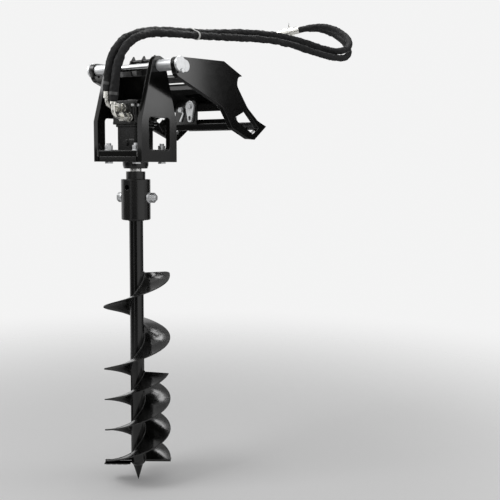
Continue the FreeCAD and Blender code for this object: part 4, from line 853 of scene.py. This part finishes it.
@dataclass(frozen=True)
class WeldCoil:
    """A weld round an upright axis, down a screw or, with no pitch, in a ring.

    It starts at top's height, start_angle degrees from +X, and runs clockwise, down by pitch for each turn.
    """

    radius: float
    top: Vector
    size: float
    start_angle: float = 0.0
    turns: float = 1.0
    pitch: float = 0.0
    overlap: float = 0.8

    def lay(self, name: str) -> Piece:
        """Lay the weld.

        Args:
            name: The piece's name.

        Returns:
            The bead as one mesh.
        """
        length = self.turns * math.hypot(2 * math.pi * self.radius, self.pitch)
        count = math.ceil(length / (self.overlap * self.size))
        angle = math.radians(self.start_angle)
        first = Vector((self.radius * math.cos(angle), self.radius * math.sin(angle), 0))
        bead = weld_drop(name, self.top + first, self.size)
        settle(bead)
        turn = Matrix.Rotation(-2 * math.pi * self.turns / count, 4, "Z")
        sink = Matrix.Translation((0, 0, -self.turns * self.pitch / count))
        bpy.ops.object.empty_add()
        guide = bpy.context.object
        guide.matrix_world = sink @ (Matrix.Translation(self.top) @ turn @ Matrix.Translation(-self.top))
        bpy.context.view_layer.update()
        row = bead.modifiers.new("coil", "ARRAY")
        row.count = count
        row.use_relative_offset = False
        row.use_object_offset = True
        row.offset_object = guide
        apply_modifiers(bead)
        bpy.data.objects.remove(guide)
        roughen(bead, self.size * WELD_ROUGHNESS, count)
        bpy.ops.object.shade_smooth()
        return bead


def join_pieces(name: str, pieces: list[Piece]) -> Piece:
    """Join meshes into the first of them.

    Args:
        name: The joined piece's name.
        pieces: The meshes.

    Returns:
        The joined piece.
    """
    select_only(pieces[0])
    for piece in pieces:
        piece.select_set(True)
    bpy.ops.object.join()
    joined = bpy.context.object
    joined.name = name
    return joined


# Sub-assemblies


@dataclass
class Hitch:
    """The welded hitch between its two side plates.

    The back plate leans by back_lean degrees and reaches half_height up and down, with its front plate_front
    before the origin. The stiffener's weld lies stiffener_face before it and runs up to stiffener_end.
    """

    works: Workshop
    inside: float = 0.174
    back_lean: float = 41.5
    half_height: float = 0.049
    plate_front: float = 0.012
    stiffener_face: float = 0.038
    stiffener_end: float = 0.073
    beam_place: Point = (0, -0.014, -0.0955)
    half_beam: float = 0.015
    weld: float = 0.0035
    plate_edge: float = 0.0012
    beam_edge: float = 0.0006
    plates: tuple[str, ...] = (
        "hitch_side_plate_left", "hitch_side_plate_right", "hitch_back_plate", "hitch_stiffener",
        "hitch_hook_bar", "hitch_lip_bar", "latch_bracket",
    )

    def build(self) -> None:
        """Finish the plates and lay the welds."""
        self.works.soften_all(dict.fromkeys(self.plates, self.plate_edge))
        self.works.soften("hitch_beam", self.beam_edge)
        self.lay_welds()

    def lay_welds(self) -> None:
        """Lay the welds that join the cross members to the side plates."""
        lean = math.radians(self.back_lean)
        down = Vector((0, math.sin(lean), -math.cos(lean)))
        out = Vector((0, math.cos(lean), math.sin(lean)))
        front = out * -self.plate_front
        upper = out * -self.stiffener_face
        beam = Vector(self.beam_place)
        low = down * self.half_beam
        far = out * self.half_beam
        runs: list[tuple[Vector, Vector]] = [
            (down * -self.half_height + front, down * self.half_height + front),
            (down * -self.half_height + upper, down * -self.stiffener_end + upper),
            (beam - low - far, beam - low + far),
            (beam - low - far, beam + low - far),
            (beam + low - far, beam + low + far),
        ]
        pieces = []
        for side in (-1, 1):
            wall = Vector((side * (self.inside - WELD_STAND), 0, 0))
            pieces += [weld_run("hitch_weld", wall + first, wall + last, self.weld) for first, last in runs]
        self.works.hand_over(join_pieces("hitch_welds", pieces), Body.HITCH.value, Slot.FRAME)


@dataclass
class PivotPin:
    """The pin, its spacers and the keeper discs at its ends."""

    works: Workshop
    cap_edge: float = 0.0018
    edges: dict[str, float] = field(default_factory=lambda: {
        "pivot_pin": 0.0010, "pin_spacers": 0.0010, "keeper_screws": 0.0006,
    })

    def build(self) -> None:
        """Finish the pin and its hardware."""
        self.works.soften_all(self.edges)
        self.works.soften("pin_caps", self.cap_edge, segments=3)


@dataclass
class Latch:
    """The lever and clip on the front of the beam."""

    works: Workshop
    bolt_edge: float = 0.0007
    edges: dict[str, float] = field(default_factory=lambda: {"latch_lever": 0.0016, "latch_clip": 0.0014})

    def build(self) -> None:
        """Finish the lever, the clip and their bolts."""
        self.works.soften_all(self.edges, segments=3)
        self.works.soften("latch_bolts", self.bolt_edge)


@dataclass
class Cradle:
    """The swinging cradle and its fasteners."""

    works: Workshop
    inside: float = 0.090
    front: float = AXIS_Y - 0.0875
    rear: float = AXIS_Y + 0.0875
    floor_top: float = -0.1965
    floor_thick: float = 0.019
    end_gap: float = 0.006
    corner_inset: float = 0.001
    weld: float = 0.0035
    plate_edge: float = 0.0018
    plates: tuple[str, ...] = (
        "cradle_side_plate_left", "cradle_side_plate_right", "cradle_rear_plate", "cradle_floor",
    )
    fasteners: dict[str, float] = field(default_factory=lambda: {
        "hose_guide": 0.0009, "drive_bolts": 0.0008, "drive_nuts": 0.0008,
    })

    def build(self) -> None:
        """Finish the plates and fasteners, and lay the welds."""
        self.works.soften_all(dict.fromkeys(self.plates, self.plate_edge), segments=3)
        self.works.soften_all(self.fasteners)
        self.lay_welds()

    def lay_welds(self) -> None:
        """Lay the welds between the floor and the side plates."""
        top = self.floor_top + WELD_STAND
        low = self.floor_top - self.floor_thick
        corner = self.front + self.corner_inset
        pieces = []
        for side in (-1, 1):
            wall = side * (self.inside - WELD_STAND)
            runs = (
                ((wall, self.front + self.end_gap, top), (wall, self.rear - self.end_gap, top)),
                ((wall, corner, low), (wall, corner, self.floor_top)),
            )
            for first, last in runs:
                pieces.append(weld_run("cradle_weld", Vector(first), Vector(last), self.weld))
        self.works.hand_over(join_pieces("cradle_welds", pieces), Body.CRADLE.value, Slot.FRAME)


@dataclass
class Drive:
    """The hydraulic motor, the gearbox and their fittings."""

    works: Workshop
    castings: dict[str, float] = field(default_factory=lambda: {
        "gearbox_housing": 0.0020, "motor_block": 0.0022, "motor_cap": 0.0020,
    })
    fittings: dict[str, float] = field(default_factory=lambda: {
        "drive_flange": 0.0014, "drive_plugs": 0.0006, "motor_screws": 0.0006, "port_adapters": 0.0006,
        "sleeve_clamps": 0.0006, "hose_elbows": 0.0008,
    })

    def build(self) -> None:
        """Finish the castings and fittings."""
        self.works.soften_all(self.castings, segments=3)
        self.works.soften_all(self.fittings)


@dataclass
class Auger:
    """The hub, the tube, the screw blades and the pilot."""

    works: Workshop
    tube_radius: float = 0.0238
    pitch: float = 0.2175
    bottom: float = -1.2804
    end_angle: float = 35.0
    main_turns: float = 3.056
    second_turns: float = 1.465
    blade_thick: float = 0.004
    blade_edge: float = 0.0008
    hub_bottom: float = -0.4295
    collar_gap: float = 0.0006
    weld: float = 0.0032
    weld_stand: float = 0.0012
    edges: dict[str, float] = field(default_factory=lambda: {
        "auger_hub": 0.0008, "auger_tube": 0.0005, "output_shaft": 0.0010, "hub_bolt": 0.0010,
        "blade_bars": 0.0008, "cutting_teeth": 0.0008, "pilot_bit": 0.0008,
    })
    flights: tuple[str, ...] = ("flight_upper", "flight_middle", "flight_lower", "flight_second")

    def build(self) -> None:
        """Finish the auger and lay its welds."""
        self.works.soften_all(self.edges)
        self.join_flights()
        self.lay_welds()

    def join_flights(self) -> None:
        """Join the sections of both blades into one mesh without the faces where they butt."""
        copies = [self.works.copy_node(node) for node in self.flights]
        blades = join_pieces("screw_blades", copies)
        merge_close(blades, BLADE_FLAT_TURN)
        select_only(blades)
        bpy.ops.object.mode_set(mode="EDIT")
        bpy.ops.mesh.select_mode(type="FACE")
        bpy.ops.mesh.select_all(action="DESELECT")
        bpy.ops.mesh.select_interior_faces()
        bpy.ops.mesh.delete(type="FACE")
        bpy.ops.mesh.select_all(action="SELECT")
        bpy.ops.mesh.normals_make_consistent(inside=False)
        bpy.ops.object.mode_set(mode="OBJECT")
        break_edges(blades, self.blade_edge, 2)
        self.works.hand_over(blades, Body.AUGER.value, Slot.AUGER, *self.flights)

    def lay_welds(self) -> None:
        """Lay the welds along both blades and round the tube's upper end."""
        reach = self.tube_radius + self.weld_stand
        foot = Vector((0, AXIS_Y, self.bottom + self.blade_thick))
        collar = Vector((0, AXIS_Y, self.hub_bottom - self.collar_gap))
        coils = []
        for angle, turns in ((self.end_angle, self.main_turns), (self.end_angle + 180, self.second_turns)):
            top = foot + Vector((0, 0, self.pitch * turns))
            coils.append(WeldCoil(reach, top, self.weld, angle + 360 * turns, turns, self.pitch))
        coils.append(WeldCoil(reach, collar, self.weld))
        pieces = [coil.lay("blade_weld") for coil in coils]
        self.works.hand_over(join_pieces("auger_welds", pieces), Body.AUGER.value, Slot.AUGER)


@dataclass
class Hose:
    """One hydraulic hose in its woven sleeve.

    The sleeve is slack near its start, up to slack_reach along it, and has long folds and short crimps all
    along. The slack and the creases' depth are shares of its radius.
    """

    works: Workshop
    node: str
    route: list[Point]
    length: float
    far_pieces: list[Piece]
    seed: float = 0.0
    diameter: float = 0.026
    cover: float = 0.975
    sides: int = 32
    ring_step: float = 0.0025
    end_rings: int = 6
    slack: float = 0.10
    slack_reach: float = 0.5
    fold_rate: float = 40.0
    crimp_rate: float = 105.0
    crimp_spread: float = 1.5
    crease_depth: float = 0.17
    bend_start: Point = (0.0, -0.481, 0.035)
    bend_end: Point = (0.0, -0.117, 0.225)

    def centre_line(self) -> list[Vector]:
        """Read the hose's smooth centre line from a spline through its route.

        Returns:
            Close points along the line.
        """
        data = bpy.data.curves.new(self.node + "_line", "CURVE")
        data.dimensions = "3D"
        data.resolution_u = 24
        spline = data.splines.new("NURBS")
        spline.points.add(len(self.route) - 1)
        for point, place in zip(spline.points, self.route):
            point.co = (*place, 1.0)
        spline.order_u = 3
        spline.use_endpoint_u = True
        line = put_in_scene(self.node + "_line", data)
        mesh = bpy.data.meshes.new_from_object(line)
        points = [vertex.co.copy() for vertex in mesh.vertices]
        bpy.data.objects.remove(line)
        bpy.data.meshes.remove(mesh)
        return points

    def even_steps(self, points: list[Vector]) -> list[Vector]:
        """Read places at even steps along a line.

        Args:
            points: The line's points.

        Returns:
            The centre of each ring of the sleeve.
        """
        lengths = [0.0]
        for first, last in zip(points, points[1:]):
            lengths.append(lengths[-1] + (last - first).length)
        count = math.ceil(lengths[-1] / self.ring_step)
        places = []
        index = 0
        for step in range(count + 1):
            target = lengths[-1] * step / count
            while index < len(points) - 2 and lengths[index + 1] < target:
                index += 1
            span = max(1e-9, lengths[index + 1] - lengths[index])
            places.append(points[index].lerp(points[index + 1], (target - lengths[index]) / span))
        return places

    def wrinkle(self, along: float, angle: float) -> float:
        """Work out how far the sleeve stands in or out.

        Args:
            along: Distance along the hose.
            angle: Direction round it.

        Returns:
            The distance, as a share of the sleeve's radius.
        """
        across = math.cos(angle)
        up = math.sin(angle)
        folds = noise.noise(Vector((along * self.fold_rate, across + self.seed, up)))
        spread = self.crimp_spread
        crimps = noise.noise(Vector((along * self.crimp_rate, across * spread, up * spread + self.seed)))
        slack = self.slack * max(0.0, 1.0 - along / self.slack_reach)
        return slack + self.crease_depth * folds + self.crease_depth * crimps

    def mesh_tube(self, places: list[Vector]) -> Piece:
        """Build the sleeve as a closed tube of rings with a UV map along and round it.

        Args:
            places: The centre of each ring.

        Returns:
            The tube.
        """
        points: list[Vector] = []
        side_way = Vector((1, 0, 0))
        radius = self.diameter / 2 * self.cover
        last = len(places) - 1
        for index, place in enumerate(places):
            heading = (places[min(index + 1, last)] - places[max(index - 1, 0)]).normalized()
            side_way = (side_way - heading * side_way.dot(heading)).normalized()
            up_way = heading.cross(side_way)
            ends = min(1.0, index / self.end_rings, (last - index) / self.end_rings)
            for side in range(self.sides):
                angle = 2 * math.pi * side / self.sides
                reach = radius * (1 + ends * self.wrinkle(index * self.ring_step, angle))
                points.append(place + (side_way * math.cos(angle) + up_way * math.sin(angle)) * reach)
        faces = []
        for index in range(last):
            for side in range(self.sides):
                near = index * self.sides
                far = near + self.sides
                after = (side + 1) % self.sides
                faces.append((near + side, near + after, far + after, far + side))
        faces.append(tuple(reversed(range(self.sides))))
        faces.append(tuple(range(last * self.sides, (last + 1) * self.sides)))
        mesh = bpy.data.meshes.new(self.node + "_sleeve")
        mesh.from_pydata(points, [], faces)
        layer = mesh.uv_layers.new(name="sleeve")
        for polygon in mesh.polygons[: last * self.sides]:
            index, side = divmod(polygon.index, self.sides)
            corners = ((index, side), (index, side + 1), (index + 1, side + 1), (index + 1, side))
            for loop, (ring, around) in zip(polygon.loop_indices, corners):
                layer.data[loop].uv = (ring * self.ring_step / self.diameter, around / self.sides)
        tube = put_in_scene(self.node + "_sleeve", mesh)
        select_only(tube)
        bpy.ops.object.shade_smooth()
        return tube

    def build(self) -> None:
        places = self.even_steps(self.centre_line())
        tube = self.mesh_tube(places)
        self.works.coat(tube, Slot.SLEEVE)
        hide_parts(self.node)
        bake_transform(tube)
        LOG.info("hose %s, %d rings", self.node, len(places))


@dataclass
class HoseSet:
    """Both hoses, their tie and their far couplings."""

    works: Workshop
    coupling_edge: float = 0.0008
    tie_edge: float = 0.0005
    supply_length: float = 1.701
    return_length: float = 1.811
    supply_route: list[Point] = field(default_factory=lambda: [
        (-0.001, -0.481, -0.0075), (0.003, -0.480, 0.0525), (0.007, -0.463, 0.1105),
        (0.008, -0.421, 0.1605), (0.009, -0.349, 0.1945), (0.008, -0.245, 0.2165),
        (0.006, -0.125, 0.2285), (0.009, -0.007, 0.2375), (0.040, 0.109, 0.2525),
        (0.082, 0.221, 0.2625), (0.126, 0.327, 0.2625), (0.172, 0.429, 0.2485),
        (0.219, 0.511, 0.2265), (0.258, 0.587, 0.2185), (0.262, 0.671, 0.2465),
        (0.220, 0.737, 0.2965), (0.146, 0.764, 0.3425), (0.060, 0.757, 0.3685),
        (-0.020, 0.721, 0.3485),
    ])
    return_route: list[Point] = field(default_factory=lambda: [
        (0.027, -0.481, -0.0405), (0.032, -0.480, 0.0125), (0.037, -0.474, 0.0685),
        (0.040, -0.449, 0.1245), (0.040, -0.399, 0.1685), (0.038, -0.319, 0.1955),
        (0.036, -0.201, 0.2095), (0.035, -0.066, 0.2185), (0.046, 0.045, 0.2275),
        (0.086, 0.157, 0.2335), (0.132, 0.265, 0.2375), (0.178, 0.363, 0.2265),
        (0.219, 0.445, 0.2055), (0.254, 0.529, 0.1915), (0.266, 0.623, 0.1955),
        (0.238, 0.717, 0.2325), (0.174, 0.789, 0.2905), (0.086, 0.817, 0.3445),
        (-0.006, 0.797, 0.3705), (-0.080, 0.753, 0.3525),
    ])

    def build(self) -> None:
        """Build both hoses and finish what is on them."""
        socket = self.works.soften("coupling_socket", self.coupling_edge)
        sleeve = self.works.soften("coupling_sleeve", self.coupling_edge)
        plug = self.works.soften("coupling_plug", self.coupling_edge)
        tie = self.works.soften("hose_tie", self.tie_edge)
        supply = Hose(self.works, "supply_hose", self.supply_route, self.supply_length, [socket, sleeve])
        supply.build()
        Hose(self.works, "return_hose", self.return_route, self.return_length, [plug, tie], 7.0).build()


# Studio


@dataclass(frozen=True)
class Light:
    """Something bright that faces a point. Its glow is how bright its face is, 1 for white."""

    name: str
    place: Point
    aim: Point
    size: tuple[float, float]
    glow: float


class Card(Light):
    """A flat card that only gloss sees."""

    def stand(self) -> None:
        """Stand the card in the studio."""
        deselect_all()
        bpy.ops.mesh.primitive_plane_add(size=1.0)
        card = bpy.context.object
        card.name = self.name
        card.scale = (*self.size, 1.0)
        settle(card)
        card.matrix_world = face_from(self.place, self.aim)
        settle(card)
        material, _, shader = new_material(self.name)
        set_inputs(shader, Base_Color=(0, 0, 0, 1), Specular_IOR_Level=0.0)
        set_inputs(shader, Emission_Color=(1, 1, 1, 1), Emission_Strength=self.glow)
        card.data.materials.append(material)
        card.visible_camera = False
        card.visible_diffuse = False
        card.visible_transmission = False
        card.visible_shadow = False
        card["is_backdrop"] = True


class Lamp(Light):
    """A soft box that the camera doesn't see."""

    def hang(self) -> None:
        """Hang the lamp in the studio."""
        data = bpy.data.lights.new(self.name, "AREA")
        data.shape = "RECTANGLE"
        data.size, data.size_y = self.size
        data.energy = self.glow * math.pi * self.size[0] * self.size[1]
        lamp = put_in_scene(self.name, data)
        lamp.matrix_world = face_from(self.place, self.aim)
        lamp.visible_camera = False


LAMPS = (
    Lamp("key", (-1.2, -2.6, 2.4), (0, -0.3, -0.3), (1.8, 1.8), 4.0),
    Lamp("side_panel", (2.64, 1.65, 0.80), (0.19, -0.3, 0.05), (1.5, 1.5), 1.5),
)

CARDS = (
    Card("front_card", (-1.5, -2.5, -1.54), (0, -0.35, -1.54), (3.4, 3.2), 0.07),
    Card("camera_card", (1.45, -2.86, -1.54), (0, -0.35, -1.54), (2.6, 3.2), 0.05),
    Card("back_card", (0.80, 2.05, 0.0), (0.0, -0.35, 0.0), (2.0, 3.2), 0.01),
    Card("low_side_card", (2.7, 1.7, -0.75), (0.19, -0.3, -0.1), (1.9, 1.6), 0.45),
    Card("top_card", (-0.47, 0.64, 1.47), (0.12, -0.27, -0.9), (1.05, 0.9), 8.0),
    Card("floor_card", (-0.95, -0.50, -1.32), (-0.95, -0.50, 0.0), (1.0, 1.0), 0.05),
    Card("lever_card", (-0.94, -0.81, 0.02), (-0.005, -0.051, -0.052), (0.36, 0.4), 2.0),
    Card("pin_card", (-0.83, -0.72, 0.54), (-0.005, -0.051, -0.052), (0.5, 0.4), 5.0),
    Card("dark_floor_card", (-0.95, 0.8, -1.34), (-0.95, 0.8, 0.0), (1.8, 2.4), 0.08),
    Card("back_left_card", (-1.13, 1.10, 0.94), (0.0, -0.35, -0.9), (1.9, 1.2), 0.45),
)


@dataclass
class Studio:
    """The floor, the surroundings, the soft boxes and the camera.

    The world shows pale to the camera, gloss and glass, and lights the rest with ambient. The floor fades out
    from fade_near to fade_far round the auger.
    """

    camera_place: Point = (1.8905, -2.3709, -0.2324)
    azimuth: float = 35.01
    pitch: float = 6.225
    roll: float = 0.376
    lens: float = 57.85
    sensor: float = 36.0
    farthest_seen: float = 60.0
    pale: float = 0.90
    ambient: float = 0.5
    floor_color: Color = (0.84, 0.84, 0.84)
    floor_roughness: float = 0.9
    floor_radius: float = 6.0
    floor_gap: float = 0.002
    fade_near: float = 0.7
    fade_far: float = 3.4

    def build(self) -> None:
        """Set the whole studio up."""
        self.place_floor(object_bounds()[0][2])
        self.light_world()
        for lamp in LAMPS:
            lamp.hang()
        for card in CARDS:
            card.stand()
        self.place_camera()
        bpy.context.scene.view_settings.view_transform = "Standard"

    def place_floor(self, height: float) -> None:
        """Lay a pale floor that fades out into the backdrop's colour.

        Args:
            height: Height of the object's lowest point.
        """
        deselect_all()
        bpy.ops.mesh.primitive_circle_add(
            vertices=96, radius=self.floor_radius, fill_type="NGON", location=(0, 0, height - self.floor_gap)
        )
        floor = bpy.context.object
        floor.name = "studio_floor"
        settle(floor)
        material, desk, shader = new_material("studio floor")
        set_inputs(shader, Base_Color=(*self.floor_color, 1), Roughness=self.floor_roughness)
        set_inputs(shader, Specular_IOR_Level=0.0)
        reach = desk.add("ShaderNodeVectorMath", operation="DISTANCE")
        desk.link(desk.add("ShaderNodeTexCoord").outputs["Object"], reach.inputs[0])
        reach.inputs[1].default_value = (0, AXIS_Y, height)
        limits = {"From_Min": self.fade_far, "From_Max": self.fade_near, "interpolation_type": "SMOOTHSTEP"}
        desk.link(desk.remap(reach.outputs["Value"], **limits), shader.inputs["Alpha"])
        floor.data.materials.append(material)
        floor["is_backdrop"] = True

    def light_world(self) -> None:
        """Set a pale surround for the camera, gloss and glass, and an even light for the rest."""
        world = bpy.data.worlds.new("studio")
        bpy.context.scene.world = world
        world.use_nodes = True
        desk = NodeDesk(world.node_tree)
        rays = desk.add("ShaderNodeLightPath")
        seen = desk.math("MAXIMUM", rays.outputs["Is Camera Ray"], rays.outputs["Is Glossy Ray"])
        seen = desk.math("MAXIMUM", seen, rays.outputs["Is Transmission Ray"])
        background = world.node_tree.nodes["Background"]
        desk.link(desk.remap(seen, To_Min=self.ambient, To_Max=self.pale), background.inputs["Strength"])
        background.inputs["Color"].default_value = (1, 1, 1, 1)

    def place_camera(self) -> None:
        """Place the camera at the photograph's viewing angle."""
        around = math.radians(self.azimuth)
        down = math.radians(self.pitch)
        back = Vector((math.sin(around) * math.cos(down), -math.cos(around) * math.cos(down), math.sin(down)))
        right = Vector((math.cos(around), math.sin(around), 0))
        up = back.cross(right)
        tilt = math.radians(self.roll)
        across = right * math.cos(tilt) + up * math.sin(tilt)
        upright = up * math.cos(tilt) - right * math.sin(tilt)
        data = bpy.data.cameras.new("camera")
        data.lens = self.lens
        data.sensor_width = self.sensor
        data.clip_end = self.farthest_seen
        camera = put_in_scene("camera", data)
        turn = Matrix((across, upright, back)).transposed().to_4x4()
        camera.matrix_world = Matrix.Translation(self.camera_place) @ turn
        bpy.context.scene.camera = camera


def main() -> None:
    """Build the dressed object and the studio."""
    logging.basicConfig(level=logging.INFO, format="%(name)s: %(message)s")
    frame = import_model()
    works = Workshop(frame)
    for assembly in (Hitch, PivotPin, Latch, Cradle, Drive, Auger, HoseSet):
        assembly(works).build()
        LOG.info("built %s", assembly.__name__)
    works.coat_shown_nodes()
    Studio().build()


if __name__ == "__main__":
    main()
